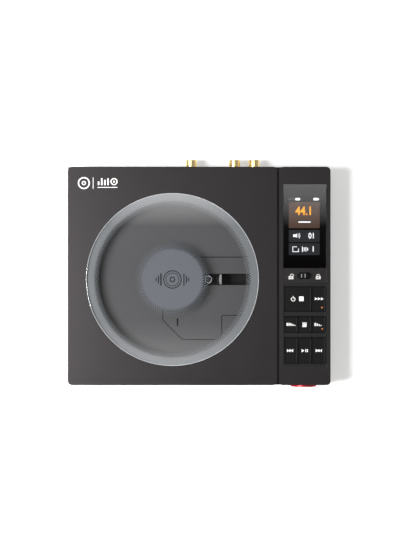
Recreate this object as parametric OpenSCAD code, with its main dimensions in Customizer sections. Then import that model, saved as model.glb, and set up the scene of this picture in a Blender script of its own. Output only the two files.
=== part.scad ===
// Top-loading disc player: a low aluminium case with a hinged glass-windowed lid over the disc well
// and a raised control strip beside it. Millimetres, +Z up, front faces -Y, disc axis is vertical.

/* [Case] */
// Width of the whole case
case_w = 184; // [176:1:220]
// Depth of the whole case, without sockets and knob
case_d = 153; // [148:1:190]
// Height of the chassis walls
chassis_h = 22; // [20:0.5:27]
// Height of the lid and the control strip above the chassis
cover_h = 6; // [5.6:0.1:8]
// Thickness of the chassis walls
wall = 2.5; // [2:0.1:3]
// Radius of the upright outer corners
corner_r = 3; // [1:0.5:5]
// Thickness of the bottom cover
bottom_t = 2; // [1.5:0.1:2.5]
// Height of the rubber feet
foot_h = 2; // [1:0.5:5]
// Radius of the rubber feet
foot_r = 7; // [5:0.5:9]

/* [Lid] */
// Width of the lid
lid_w = 146.5; // [144:0.5:156]
// Gap between the lid and the control strip
seam_gap = 1.4; // [0.8:0.1:2.4]
// Thickness of the lid's top plate
lid_plate_t = 2.6; // [2.2:0.1:3]
// Thickness of the lid's skirt
lid_skirt_t = 2.2; // [1.5:0.1:2.5]
// Gap between the lid's skirt and the chassis
lid_seat_gap = 0.4; // [0.3:0.1:0.8]
// Diameter of the round glass
window_d = 121; // [112:0.5:124]
// Thickness of the glass
glass_t = 1.45; // [1:0.05:1.8]
// Width of the ledge that carries the glass
window_ledge = 3.2; // [2:0.1:5]
// Distance of the hinge axis from the rear face
hinge_inset = 3; // [2.8:0.1:3.5]
// Height of the hinge axis below the chassis rim
hinge_drop = 2; // [1.6:0.1:2.4]
// Width of each hinge arm
hinge_arm_w = 5; // [3:0.5:8]

/* [Disc well] */
// Distance of the disc axis from the front face
spindle_from_front = 74; // [71:0.5:80]
// Diameter of the well
well_d = 124; // [122:0.5:126]
// Depth of the well below the chassis rim
well_depth = 4.5; // [4:0.1:6]
// Height of the disc seat above the well floor
seat_h = 2.5; // [2.2:0.1:3]
// Radius of the hub that centres the disc
hub_r = 7.35; // [7.2:0.05:7.4]
// Radius of the turntable
platter_r = 15; // [12:0.5:16]
// Width of the seams around the mechanism cover
seam = 0.5; // [0.3:0.1:0.8]
// Width of the slot that the lens runs in
lens_slot_w = 8; // [7:0.5:10]

/* [Pickup] */
// Lens position at the inner end of its travel, from the disc axis
lens_home = 25.2; // [24:0.1:28]
// Lens position at the outer end of its travel, from the disc axis
lens_outer = 58; // [50:0.5:58]
// Radius of the lens barrel
lens_barrel_r = 3; // [2.5:0.1:3.2]
// Radius of the two guide rods
rod_r = 1.5; // [1:0.1:1.8]
// Radial clearance of the pickup on its main rod
rod_clear = 0.05; // [0.02:0.01:0.1]
// Tooth count of the small wheel that drives the rack
rack_pinion_teeth = 12; // [12:1:14]
// Tooth count of the large wheel on the same shaft
large_wheel_teeth = 36; // [30:1:38]
// Tooth count of the sled motor's pinion
motor_pinion_teeth = 12; // [12:1:14]

/* [Control strip] */
// Width of the display and button openings
panel_w = 30.2; // [28:0.1:31]
// Length of the display glass
display_l = 59; // [50:0.5:60]
// Distance of the display's front edge from the front face
display_from_front = 81.8; // [81:0.2:86]
// Thickness of the strip's top plate
strip_plate_t = 2; // [2:0.1:2.5]
// Thickness of the strip's skirt
strip_skirt_t = 2; // [1.5:0.1:2.2]
// Length of the button panel
bezel_l = 57.7; // [57:0.1:60]
// Distance of the button panel's front edge from the front face
bezel_from_front = 13.8; // [12:0.2:14]
// Gap between neighbouring buttons
button_gap = 0.6; // [0.5:0.1:1]
// Travel of a button
button_travel = 0.5; // [0.3:0.1:0.6]
// Length of the sliding switch's recess
hold_l = 10.2; // [9:0.2:12]
// Width of the sliding switch's recess
hold_w = 4.8; // [4:0.2:6]
// Travel of the sliding switch
hold_travel = 2; // [1:0.1:2.2]
// Radius of the volume knob
knob_r = 9; // [7:0.5:9.5]
// How far the knob stands out of the front face
knob_out = 1.8; // [1:0.2:6]

/* [Sockets] */
// How far the phono sockets stand out of the rear face
socket_out = 5.6; // [5:0.2:9]
// Radius of a phono socket's barrel
socket_r = 4.1; // [4:0.05:4.2]
// Distance between the two line output sockets
socket_pitch = 14; // [13:0.5:18]
// Height of the phono sockets' axes above the chassis' lower edge
socket_z = 9.8; // [9.6:0.1:10]
// Radius of the small headphone socket's bore
small_jack_r = 1.8; // [1.76:0.02:1.86]
// Radius of the large headphone socket's bore
large_jack_r = 2.25; // [2.21:0.02:2.31]

/* [Hidden] */
$fn = 96;
eps = 0.01;

// Outer faces of the case; the origin is centred between the knob's front and the sockets' tips.
x0 = -case_w / 2;
x1 = case_w / 2;
y0 = -(case_d + socket_out + knob_out) / 2 + knob_out;
y1 = y0 + case_d;
floor_z = foot_h + bottom_t;
rim_z = foot_h + chassis_h;
top_z = rim_z + cover_h;

// Lid, seam and control strip side by side along X.
lid_x1 = x0 + lid_w;
strip_x0 = lid_x1 + seam_gap;
strip_w = x1 - strip_x0;
strip_x = (strip_x0 + x1) / 2;
divider_t = 4.6;
divider_x = (lid_x1 + strip_x0) / 2;
bay_x0 = x0 + wall;
bay_x1 = divider_x - divider_t / 2;
strip_bay_x0 = divider_x + divider_t / 2;

// Disc axis.
sx = x0 + lid_w / 2;
sy = y0 + spindle_from_front;

// Hinge.
pin_r = 1.5;
pin_l = 16;
pin_clear = 0.05;
hinge_y = y1 - hinge_inset;
hinge_z = rim_z - hinge_drop;
lid_under_z = top_z - lid_plate_t;
swing_gap = 0.3;
fairing_r = lid_under_z - hinge_z - swing_gap;
fairing_z = rim_z - 6.5;
fairing_y0 = hinge_y - fairing_r;
fit_gap = 0.2;
arm_eye_r = 3;
arm_slot_w = hinge_arm_w + 1;
arm_slot_z = hinge_z - arm_eye_r - 0.4;
arm_xs = [sx - 52, sx + 52];
flange_t = 1.2;
flange_l = 14;
arm_screw_ys = [hinge_y - 6, hinge_y - 11];
skirt_y1 = fairing_y0 - 0.9;
gasket_t = 0.15;
glass_clear = 0.1;
magnet_r = 2;
magnet_h = 1.4;
magnets = [for (x = [bay_x0 + 14, bay_x1 - 14]) [x, y0 + wall + 5]];
bumpers = [for (x = [bay_x0 + 5, bay_x1 - 5]) [x, y0 + wall + 13]];
lid_switch = [bay_x1 - 4.5, y0 + wall + 19];
plunger_r = 1.2;

// Deck.
deck_t = 1.8;
deck_y1 = fairing_y0 - 0.4;
well_r = well_d / 2;
well_wall = 1.6;
well_floor_z = rim_z - well_depth;
floor_t = 1.5;
cover_t = 0.8;
ledge = 1.5;
hub_hole_r = platter_r + 1.2;
boss_r = 3.5;
boss_in = 3;
screw_r = 1;
screw_clear = 0.02;
head_r = 1.9;
head_h = 1.1;
rear_boss_y = deck_y1 - 4.5;
bay_bosses = [[bay_x0 + boss_in, y0 + wall + boss_in], [bay_x1 - boss_in, y0 + wall + boss_in],
    [bay_x0 + boss_in, rear_boss_y], [bay_x1 - boss_in, rear_boss_y]];
strip_bosses = [for (x = [strip_bay_x0 + boss_in, x1 - wall - boss_in],
    y = [y0 + 14, y1 - wall - boss_in]) [x, y]];
bosses = concat(bay_bosses, strip_bosses);

// Mechanism, placed from the disc axis.
frame_z = well_floor_z - 7.5;
frame_t = 1.4;
frame_top = frame_z + frame_t;
seat_z = well_floor_z + seat_h;
mat_t = 0.4;
shaft_r = 1;
sled_travel = lens_outer - lens_home;
rod_y = 14.5;
rod_z = frame_top + 2.2;
rod_x0 = 11.5;
rod_block_l = 4;
focus_post = [-3.5, 0];
focus_post_r = 0.8;
pickup_x0 = -9;
pickup_x1 = 7;
pickup_w = 35;
pickup_z1 = frame_top + 4;
rod_x1 = lens_outer + pickup_x1 + 1 + rod_block_l;
rack_root_y = -pickup_w / 2 - 1.75;
rack_module = 0.6;
wheel_module = 0.5;
pressure_angle = 25;
tooth_play = 0.08;
rack_pinion_r = rack_module * rack_pinion_teeth / 2;
gear_x = 34;
rack_spare = 3.5;
rack_x0 = gear_x - lens_outer - rack_spare;
rack_x1 = gear_x - lens_home + rack_spare;
gear_y = rack_root_y - 1.25 * rack_module - rack_pinion_r;
wheel_angle = 200;
wheel_distance = wheel_module * (large_wheel_teeth + motor_pinion_teeth) / 2;
sled_motor_x = gear_x + wheel_distance * cos(wheel_angle);
sled_motor_y = gear_y + wheel_distance * sin(wheel_angle);
wheel_z = frame_z - 1.4;
wheel_t = 1.2;
running_gap = 0.2;
gear_core_r = 1.6;
frame_x0 = -24;
dampers = [[-19, 20], [-19, -31], [48, 21.5], [50, -33]];
damper_r = 3.6;
damper_waist_r = 2.4;
damper_boss_z = frame_top + 2;

// Control strip.
strip_under_z = top_z - strip_plate_t;
panel_x0 = strip_x - panel_w / 2;
bezel_y0 = y0 + bezel_from_front;
bezel_y1 = bezel_y0 + bezel_l;
bezel_rim = 0.6;
button_clear = 0.3;
rows_x0 = panel_x0 + bezel_rim;
rows_w = panel_w - 2 * bezel_rim;
button_w = (rows_w - 2 * button_clear - 2 * button_gap) / 3;
wide_w = 2 * button_w + button_gap;
row_tops = [2.3, 23.1, 37.9];
row_lengths = [17.8, 11.8, 18.5];
button_top = top_z + 0.2;
lip_t = 0.6;
lip_z = strip_under_z - 1.2 - 0.2 - lip_t;
lip_out = 0.6;
stem_r = 1.5;
stem_z = lip_z - 0.4;
board_t = 1.6;
board_gap_in = 1.95;
board_gap_out = 1.05;
control_board_z = rim_z - 3.6;
switch_z = control_board_z + board_t;
hold_y = y0 + (bezel_from_front + bezel_l + display_from_front) / 2;
display_y0 = y0 + display_from_front;
display_t = 1;
display_sink = 0.2;
display_z = top_z - display_sink - display_t;
knob_z = foot_h + 12;
knob_len = 6;
knob_gap = 0.4;
knob_shaft_r = 3;

// Boards and sockets.
main_board_z = foot_h + socket_z - 4.6 - board_t;
rear_board_y0 = sy + 31;
jack_z = main_board_z + board_t + 3.8;
coax_x = x0 + 86.4;
line_x = x0 + 117.1;
usb_x = x0 + 30;
usb_z = main_board_z + board_t + 1.7;
jack_xs = [bay_x1 - 33, bay_x1 - 14];
front_board_y1 = y0 + 30;
pillar_r = 3;

// ---------- shared shapes ----------

// Rectangle from a corner, with round corners.
module round_rect(x, y, w, d, r) {
    translate([x + r, y]) square([w - 2 * r, d]);
    translate([x, y + r]) square([w, d - 2 * r]);
    for (cx = [x + r, x + w - r], cy = [y + r, y + d - r]) translate([cx, cy]) circle(r);
}

// Upright plate with round corners.
module plate(x, y, z, w, d, h, r) {
    translate([0, 0, z]) linear_extrude(h) round_rect(x, y, w, d, r);
}

// Block from two opposite corners.
module block(a, b) {
    translate(a) cube(b - a);
}

// Upright cylinder from a point.
module post(p, z, r, h) {
    translate([p.x, p.y, z]) cylinder(r = r, h = h);
}

// Cylinder along +Y from a point.
module along_y(p, r, h) {
    translate(p) rotate([-90, 0, 0]) cylinder(r = r, h = h);
}

// Cylinder along +X from a point.
module along_x(p, r, h) {
    translate(p) rotate([0, 90, 0]) cylinder(r = r, h = h);
}

// Stadium from its centre, long along X.
module stadium(l, w) {
    square([l - w, w], center = true);
    for (side = [-1, 1]) translate([side * (l - w) / 2, 0]) circle(w / 2);
}

// A screw whose head is up: z is the head's top.
module screw(p, z, length) {
    color("silver") {
        difference() {
            post(p, z - head_h, head_r, head_h);
            for (turn = [0, 90]) translate([p.x, p.y, z]) rotate(turn) cube([2.2, 0.5, 1], center = true);
        }
        post(p, z - length, screw_r, length - head_h);
    }
}

// A screw whose head is down: z is the head's lower face.
module screw_up(p, z, length) {
    translate([p.x, p.y, z]) mirror([0, 0, 1]) screw([0, 0], 0, length);
}

// Spur wheel outline: involute flanks, one tooth centred on +X.
function involute(a) = tan(a) * 180 / PI - a;
function flank_angle(base_r, r) = involute(acos(min(1, base_r / r)));
module wheel_outline(teeth, module_mm) {
    pitch_r = module_mm * teeth / 2;
    base_r = pitch_r * cos(pressure_angle);
    tip_r = pitch_r + module_mm;
    root_r = pitch_r - 1.25 * module_mm;
    half = 90 / teeth - tooth_play / 2 / pitch_r * 180 / PI + involute(pressure_angle);
    steps = 4;
    flank = [for (i = [0:steps]) max(base_r, root_r) + (tip_r - max(base_r, root_r)) * i / steps];
    polygon([for (t = [0:teeth - 1]) let (mid = t * 360 / teeth) each concat(
        [root_r * [cos(mid - half), sin(mid - half)]],
        [for (r = flank) let (a = mid - half + flank_angle(base_r, r)) r * [cos(a), sin(a)]],
        [for (i = [steps:-1:0]) let (r = flank[i], a = mid + half - flank_angle(base_r, r))
            r * [cos(a), sin(a)]],
        [root_r * [cos(mid + half), sin(mid + half)]])]);
}

// ---------- case ----------

module chassis() color("#2b2a2c") {
    difference() {
        plate(x0, y0, foot_h, case_w, case_d, chassis_h, corner_r);
        block([bay_x0, y0 + wall, foot_h - eps], [bay_x1, y1 - wall, rim_z + eps]);
        block([strip_bay_x0, y0 + wall, foot_h - eps], [x1 - wall, y1 - wall, rim_z + eps]);
        block([bay_x0, y0 + wall, foot_h - eps], [x1 - wall, y1 - wall, floor_z]);
        block([x0 - eps, fairing_y0 - fit_gap, fairing_z], [lid_x1, y1 + eps, rim_z + eps]);
        for (x = [coax_x, line_x, line_x + socket_pitch])
            along_y([x, y1 - wall - 1, foot_h + socket_z], socket_r + 0.65, wall + 2);
        translate([usb_x, y1 + eps, usb_z]) rotate([90, 0, 0]) linear_extrude(wall + 1) stadium(9.8, 4);
        along_y([jack_xs[0], y0 - 1, jack_z], 3.3, wall + 2);
        along_y([jack_xs[1], y0 - 1, jack_z], 3.9, wall + 2);
        along_y([strip_x, y0 - 1, knob_z], knob_r + knob_gap, wall + 2);
    }
    for (p = bay_bosses) boss(p, rim_z - deck_t);
    for (p = strip_bosses) boss(p, control_board_z);
}

// Screw post from the bottom cover up to a height.
module boss(p, z) difference() {
    post(p, floor_z, boss_r, z - floor_z);
    post(p, floor_z - 1, screw_r + screw_clear, z - floor_z + 2);
}

module bottom_cover() color("#242426") {
    edge = wall + fit_gap;
    difference() {
        plate(x0 + edge, y0 + edge, foot_h, case_w - 2 * edge, case_d - 2 * edge, bottom_t, 1);
        for (p = bosses) {
            post(p, foot_h - 1, head_r + 0.1, head_h + 1.1);
            post(p, foot_h, screw_r + 0.1, bottom_t + 1);
        }
        for (i = [-4:4]) translate([sx + i * 6, sy, foot_h - eps]) linear_extrude(bottom_t + 1)
            rotate(90) stadium(30, 2.4);
    }
    for (p = board_pillars()) post(p, floor_z, pillar_r, main_board_z - floor_z);
}

function board_pillars() = [
    [bay_x0 + 14, rear_board_y0 + 5], [bay_x1 - 14, rear_board_y0 + 5],
    [bay_x0 + 14, y1 - 14], [bay_x1 - 40, y1 - 20],
    [jack_xs[0] - 10, front_board_y1 - 5], [jack_xs[1] + 4, front_board_y1 - 5]];

module case_screws() {
    for (p = bosses) screw_up(p, foot_h + 0.1, 6);
    for (p = bay_bosses) screw(p, rim_z, 7);
}

module rubber_feet() color("#19191a") {
    inset = 16;
    for (x = [x0 + inset, x1 - inset], y = [y0 + inset, y1 - inset]) difference() {
        post([x, y], 0, foot_r, foot_h);
        post([x, y], -eps, foot_r - 2, 0.4);
    }
}

// Outline of the mechanism cover, from the disc axis; inset draws it smaller on every side.
module cover_outline(inset) {
    k = 0.4142 * inset;
    rear = 16 - inset;
    left = -7.2 + inset;
    front = -42.7 + inset;
    step_x = 35 - inset;
    step_y = -25.6 + inset;
    polygon([[left, rear], [well_r + 5, rear], [well_r + 5, step_y], [step_x, step_y],
        [step_x, -39 + k], [31.3 - k, front], [6.7 + k, front], [left, -28.8 + k]]);
}

module disc_deck() color("#4a4b4d") {
    x = bay_x0 + fit_gap;
    y = y0 + wall + fit_gap;
    difference() {
        union() {
            plate(x, y, rim_z - deck_t, bay_x1 - fit_gap - x, deck_y1 - y, deck_t, 1);
            post([sx, sy], well_floor_z - floor_t, well_r + well_wall, well_depth + floor_t);
            for (d = dampers) post([sx + d.x, sy + d.y], damper_boss_z, 3, well_floor_z - damper_boss_z - 1);
        }
        post([sx, sy], well_floor_z, well_r, well_depth + 1);
        post([sx, sy], damper_boss_z - 1, hub_hole_r, well_floor_z - damper_boss_z + 2);
        translate([sx, sy, well_floor_z - cover_t]) linear_extrude(cover_t + 1) intersection() {
            cover_outline(0);
            circle(well_r);
        }
        translate([sx, sy, well_floor_z - floor_t - 1]) linear_extrude(floor_t + 1.5) intersection() {
            cover_outline(ledge);
            circle(well_r - ledge);
        }
        translate([sx, sy, 0]) block([0, -lens_slot_w / 2, damper_boss_z], [well_r, lens_slot_w / 2, rim_z]);
        for (d = dampers) post([sx + d.x, sy + d.y], damper_boss_z - 1, screw_r + screw_clear, 3.6);
        for (p = bay_bosses) {
            post(p, rim_z - head_h, head_r + 0.1, head_h + 1);
            post(p, rim_z - deck_t - 1, screw_r + 0.1, deck_t + 1);
        }
        for (p = magnets) post(p, rim_z - magnet_h, magnet_r + screw_clear, deck_t);
        post(lid_switch, rim_z - deck_t - 1, plunger_r + 0.1, deck_t + 2);
    }
}

module mechanism_cover() color("#48494b") translate([sx, sy, well_floor_z - cover_t]) difference() {
    linear_extrude(cover_t) intersection() {
        cover_outline(seam);
        circle(well_r - 0.2);
    }
    translate([0, 0, -1]) cylinder(r = hub_hole_r, h = cover_t + 2);
    block([0, -lens_slot_w / 2, -1], [well_r + 1, lens_slot_w / 2, cover_t + 1]);
    block([3, -33, cover_t - 0.4], [4, -27.5, cover_t + 1]);
}

// Rear beam under the lid: its top is round about the hinge axis, so the lid can swing over it.
module hinge_fairing() color("#2b2a2c") difference() {
    translate([x0, 0, 0]) rotate([90, 0, 90]) linear_extrude(lid_w - fit_gap) intersection() {
        translate([fairing_y0, fairing_z]) square([y1 - fairing_y0, hinge_z + fairing_r - fairing_z]);
        union() {
            translate([hinge_y, hinge_z]) circle(fairing_r);
            translate([fairing_y0, fairing_z]) square([y1 - fairing_y0, hinge_z - fairing_z]);
        }
    }
    for (x = arm_xs) {
        block([x - arm_slot_w / 2, fairing_y0 - 1, arm_slot_z], [x + arm_slot_w / 2, y1 + 1, top_z]);
        along_x([x - pin_l / 2 - 0.2, hinge_y, hinge_z], pin_r + screw_clear, pin_l + 0.4);
    }
}

module hinge_pins() color("silver")
    for (x = arm_xs) along_x([x - pin_l / 2, hinge_y, hinge_z], pin_r, pin_l);

// ---------- boards and sockets ----------

module main_board() {
    board_y1 = y1 - wall - 0.8;
    color("#1d4a33") block([bay_x0 + 8, rear_board_y0, main_board_z],
        [bay_x1 - 8, board_y1, main_board_z + board_t]);
    top = main_board_z + board_t;
    color("#202022") {
        for (i = [0:2]) block([bay_x0 + 16 + i * 16, rear_board_y0 + 12, top],
            [bay_x0 + 25 + i * 16, rear_board_y0 + 21, top + 1.4]);
        for (i = [0:3]) post([bay_x1 - 62 + i * 9, rear_board_y0 + 8], top, 3.1, 7);
    }
    color("silver") block([bay_x0 + 66, rear_board_y0 + 16, top], [bay_x0 + 84, rear_board_y0 + 28, top + 3]);
}

module battery_pack() color("#3a4a68") {
    y = y0 + wall + 3;
    block([bay_x0 + 9, y, floor_z], [jack_xs[0] - 20, y + 27, floor_z + 8]);
}

module headphone_board() color("#1d4a33")
    block([jack_xs[0] - 14, y0 + wall + 4, main_board_z],
        [jack_xs[1] + 7, front_board_y1, main_board_z + board_t]);

// Gold barrel of a phono socket, with its board-mounted block.
module phono_shell(x) {
    z = foot_h + socket_z;
    base_y = y1 - wall - 0.5;
    color("#d8a93a") difference() {
        union() {
            along_y([x, base_y, z], socket_r + 0.5, y1 - base_y);
            along_y([x, y1 - eps, z], socket_r, socket_out + eps);
        }
        along_y([x, base_y - 1, z], socket_r - 0.6, socket_out + wall + 3);
    }
    color("#202022") block([x - 4.8, base_y - 9, main_board_z + board_t], [x + 4.8, base_y, z + 4.6]);
}

module coaxial_socket() phono_shell(coax_x);

module line_out_sockets() for (x = [line_x, line_x + socket_pitch]) phono_shell(x);

module socket_insulators() color("#e8e6e0") for (x = [coax_x, line_x, line_x + socket_pitch]) difference() {
    base_y = y1 - wall - 0.5;
    along_y([x, base_y, foot_h + socket_z], socket_r - 0.65, socket_out + wall - 0.9);
    along_y([x, base_y + 2, foot_h + socket_z], 1.6, socket_out + wall + 2);
}

module usb_socket() color("silver") translate([usb_x, y1 - 0.3, usb_z]) rotate([90, 0, 0]) {
    difference() {
        linear_extrude(8) stadium(9.2, 3.4);
        translate([0, 0, -1]) linear_extrude(7.5) stadium(8.5, 2.7);
    }
    translate([0, 0, 1]) linear_extrude(6) square([6.6, 0.7], center = true);
}

// Board-mounted socket with a nose ring in the front wall and a blind bore.
module headphone_socket(x, bore_r, nose_r, w, l) {
    color("#202022") difference() {
        block([x - w / 2, y0 + wall + 0.3, main_board_z + board_t], [x + w / 2, y0 + l + 1.5, jack_z + 3.8]);
        along_y([x, y0, jack_z], bore_r, l);
    }
    color("#b88a3c") difference() {
        along_y([x, y0 + 0.1, jack_z], nose_r, wall + 0.2);
        along_y([x, y0 - 1, jack_z], bore_r, wall + 3);
    }
}

module small_headphone_socket() headphone_socket(jack_xs[0], small_jack_r, 3, 9, 14);

module large_headphone_socket() headphone_socket(jack_xs[1], large_jack_r, 3.6, 11, 17);

// ---------- control strip ----------

module control_cover() color("#2e2d2f") {
    inner_w = strip_w - 2 * strip_skirt_t;
    difference() {
        plate(strip_x0, y0, rim_z, strip_w, case_d, cover_h, corner_r);
        block([strip_x0 + strip_skirt_t, y0 + strip_skirt_t, rim_z - eps],
            [x1 - strip_skirt_t, y1 - strip_skirt_t, strip_under_z]);
        plate(panel_x0, display_y0, display_z, panel_w, display_l, 4, 0.6);
        plate(strip_x - 13.8, display_y0 + 3.8, strip_under_z - 1, 27.6, display_l - 7.6, 4, 0.5);
        plate(panel_x0, bezel_y0, strip_under_z - 1, panel_w, bezel_l, 4, 0.6);
        translate([strip_x, hold_y, strip_under_z - 1]) linear_extrude(4) stadium(hold_l, hold_w);
    }
    for (p = cover_posts()) post(p, switch_z, 1.7, strip_under_z - switch_z + eps);
}

function cover_posts() = [for (x = [strip_x - 11, strip_x + 11],
    y = [y0 + 9, hold_y, display_y0 + display_l + 3.5]) [x, y]];

module button_bezel() color("#232224") difference() {
    union() {
        plate(panel_x0 + 0.1, bezel_y0 + 0.1, strip_under_z, panel_w - 0.2, bezel_l - 0.2, 1.8, 0.6);
        plate(panel_x0 - 0.6, bezel_y0 - 0.6, strip_under_z - 1.2, panel_w + 1.2, bezel_l + 1.2, 1.2, 0.6);
    }
    for (i = [0:2]) plate(rows_x0, row_y(i), strip_under_z - 2, rows_w, row_lengths[i], 5, 0.8);
}

// Front edge of a row's opening.
function row_y(i) = bezel_y1 - row_tops[i] - row_lengths[i];

// One key: row, left edge in button columns, and width.
module key(row, column, w) color("#262527") {
    x = rows_x0 + button_clear + column * (button_w + button_gap);
    y = row_y(row) + button_clear;
    l = row_lengths[row] - 2 * button_clear;
    plate(x, y, lip_z, w, l, button_top - lip_z, 0.9);
    plate(x, y - button_clear - lip_out, lip_z, w, l + 2 * (button_clear + lip_out), lip_t, 0.4);
    post([x + w / 2, y + l / 2], stem_z, stem_r, 1);
}

function key_centre(row, column, w) =
    [rows_x0 + button_clear + column * (button_w + button_gap) + w / 2, row_y(row) + row_lengths[row] / 2];

module power_button() key(0, 0, wide_w);
module boost_button() key(0, 2, button_w);
module filter_button() key(1, 0, button_w);
module menu_button() key(1, 1, button_w);
module bass_button() key(1, 2, button_w);
module previous_button() key(2, 0, button_w);
module play_button() key(2, 1, button_w);
module next_button() key(2, 2, button_w);

module display_glass() color("#101012")
    plate(panel_x0 + 0.15, display_y0 + 0.15, display_z, panel_w - 0.3, display_l - 0.3, display_t, 0.5);

module display_module() color("#1a1a20")
    block([strip_x - 13.4, display_y0 + 4.2, display_z - 2.4],
        [strip_x + 13.4, display_y0 + display_l - 4.2, display_z]);

module control_board() color("#1d4a33")
    block([strip_bay_x0 + board_gap_in, y0 + 6, control_board_z],
        [x1 - wall - board_gap_out, y1 - 5, switch_z]);

module tact_switches() color("#2a2a2c") {
    height = stem_z - button_travel - 0.15 - switch_z;
    for (c = concat([key_centre(0, 0, wide_w), key_centre(0, 2, button_w)],
        [for (row = [1, 2], column = [0:2]) key_centre(row, column, button_w)])) {
        translate([c.x, c.y, switch_z + (height - 0.4) / 2]) cube([4.5, 4.5, height - 0.4], center = true);
        post(c, switch_z, 1.1, height);
    }
}

module hold_switch_body() color("#b8babd")
    translate([strip_x, hold_y, switch_z + 1.1]) cube([9, 3.4, 2.2], center = true);

// Sliding cap with two ribs; it rests at the left end of its travel.
module hold_slider() color("#303032") translate([strip_x - hold_travel / 2, hold_y, 0]) {
    translate([0, 0, strip_under_z - 0.5]) linear_extrude(1.6)
        stadium(hold_l - hold_travel - 0.6, hold_w - 0.6);
    for (side = [-1, 1]) translate([side * 1.2, 0, strip_under_z + 1.4]) cube([0.8, 3, 1], center = true);
    translate([0, 0, strip_under_z - 0.5]) cube([hold_l + hold_travel + 1, hold_w + 1, 0.7], center = true);
    block([-0.8, -0.8, switch_z + 2.5], [0.8, 0.8, strip_under_z - 0.5]);
}

module volume_encoder() {
    y = y0 + wall + 4.5;
    color("#8d9092") difference() {
        union() {
            block([strip_x - 6.2, y, knob_z - 6], [strip_x + 6.2, y + 6.5, control_board_z]);
            along_y([strip_x, y - 1.2, knob_z], 4, 1.3);
        }
        along_y([strip_x, y - 2, knob_z], knob_shaft_r + rod_clear, 6);
    }
}

// Knob with a shaft socket; it turns without end.
module volume_knob() {
    color("#8e1f26") difference() {
        union() {
            along_y([strip_x, y0 - knob_out, knob_z], knob_r - 0.8, 0.8 + eps);
            along_y([strip_x, y0 - knob_out + 0.8, knob_z], knob_r, knob_len - 0.8);
        }
        along_y([strip_x, y0 - knob_out - 1, knob_z], knob_r - 2.2, 1.6);
    }
    color("silver") along_y([strip_x, y0 - knob_out + knob_len - eps, knob_z], knob_shaft_r, 6);
}

// ---------- traverse ----------

module traverse_frame() color("#7d8084") translate([sx, sy, 0]) difference() {
    union() {
        plate(frame_x0, -38, frame_z, rod_x1 + 1 - frame_x0, 64, frame_t, 3);
        for (x = [rod_x0, rod_x1 - rod_block_l], y = [-rod_y, rod_y])
            block([x, y - 2.6, frame_top - eps], [x + rod_block_l, y + 2.6, frame_top + 4.2]);
    }
    block([rod_x0 + rod_block_l, -12, frame_z - 1], [rod_x1 - rod_block_l - 0.5, 12.6, frame_top + 1]);
    for (d = dampers) post(d, frame_z - 1, damper_waist_r + 0.05, frame_t + 2);
    for (y = [-rod_y, rod_y]) along_x([rod_x0 - 1, y, rod_z], rod_r + screw_clear, rod_x1 - rod_x0 + 2);
    post([0, 0], frame_z - 1, 3.2, frame_t + 2);
    post([gear_x, gear_y], frame_z - 1, gear_core_r + rod_clear, frame_t + 2);
    post([sled_motor_x, sled_motor_y], frame_z - 1, 1.5, frame_t + 2);
}

module guide_rods() color("#c9ccd0") translate([sx, sy, 0])
    for (y = [-rod_y, rod_y]) along_x([rod_x0, y, rod_z], rod_r, rod_x1 - rod_x0);

module traverse_dampers() color("#2a2a2c") translate([sx, sy, 0]) for (d = dampers) difference() {
    union() {
        post(d, frame_z - 1.8, damper_r, 1.8);
        post(d, frame_z - eps, damper_waist_r, frame_t + 2 * eps);
        post(d, frame_top, damper_r, damper_boss_z - frame_top);
    }
    post(d, frame_z - 3, screw_r + 0.1, 8);
}

module traverse_screws() for (d = dampers)
    screw_up([sx + d.x, sy + d.y], frame_z - 1.8 - head_h, head_h + 1.8 + damper_boss_z - frame_z + 2.4);

module spindle_motor() translate([sx, sy, 0]) {
    color("#8d9092") difference() {
        union() {
            post([0, 0], floor_z + 1, 12, frame_z - floor_z - 1);
            post([0, 0], frame_z - eps, 3, frame_t + 0.6);
        }
        post([0, 0], floor_z + 1.6, shaft_r + 0.05, 14);
    }
}

module spindle_shaft() color("#c9ccd0")
    post([sx, sy], floor_z + 2, shaft_r, seat_z + 1 - floor_z - 2);

module turntable() color("#303134") translate([sx, sy, 0]) difference() {
    union() {
        post([0, 0], frame_top + 1.4, 4, seat_z - 2 - frame_top - 1.4);
        post([0, 0], seat_z - 2, platter_r, 2 - mat_t);
        post([0, 0], seat_z - mat_t - eps, 9.2, mat_t + eps);
        post([0, 0], seat_z - eps, hub_r, 1.8 + eps);
        translate([0, 0, seat_z + 1.8 - eps]) cylinder(r1 = hub_r, r2 = hub_r - 1.4, h = 1.4);
    }
    post([0, 0], frame_top, shaft_r + screw_clear, seat_z + 1 - frame_top);
    for (i = [0:2]) rotate(i * 120) block([4.2, -1.6, seat_z + 1.9], [5.6, 1.6, seat_z + 4]);
    post([0, 0], seat_z + 2.4, 3.2, 2);
}

module turntable_mat() color("#18181a") translate([sx, sy, seat_z - mat_t]) difference() {
    cylinder(r = platter_r - 0.4, h = mat_t);
    translate([0, 0, -1]) cylinder(r = 9.3, h = mat_t + 2);
}

module pickup_body() color("#2c2d30") translate([sx + lens_home, sy, 0]) {
    half = pickup_w / 2;
    difference() {
        union() {
            block([pickup_x0, -half, frame_top + 0.4], [pickup_x1, half, pickup_z1]);
            block([pickup_x0 + 1, -10, frame_z - 2], [pickup_x1 - 1, 11, frame_top + 0.5]);
        }
        block([-5.6, -5.6, frame_top + 0.8], [5.6, 5.6, pickup_z1 + 1]);
        along_x([pickup_x0 - 1, rod_y, rod_z], rod_r + rod_clear, 20);
        along_x([pickup_x0 - 1, -rod_y, rod_z], rod_r + 0.2, 20);
    }
    post(focus_post, frame_top + 0.7, focus_post_r, pickup_z1 - frame_top - 0.5);
}

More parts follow.
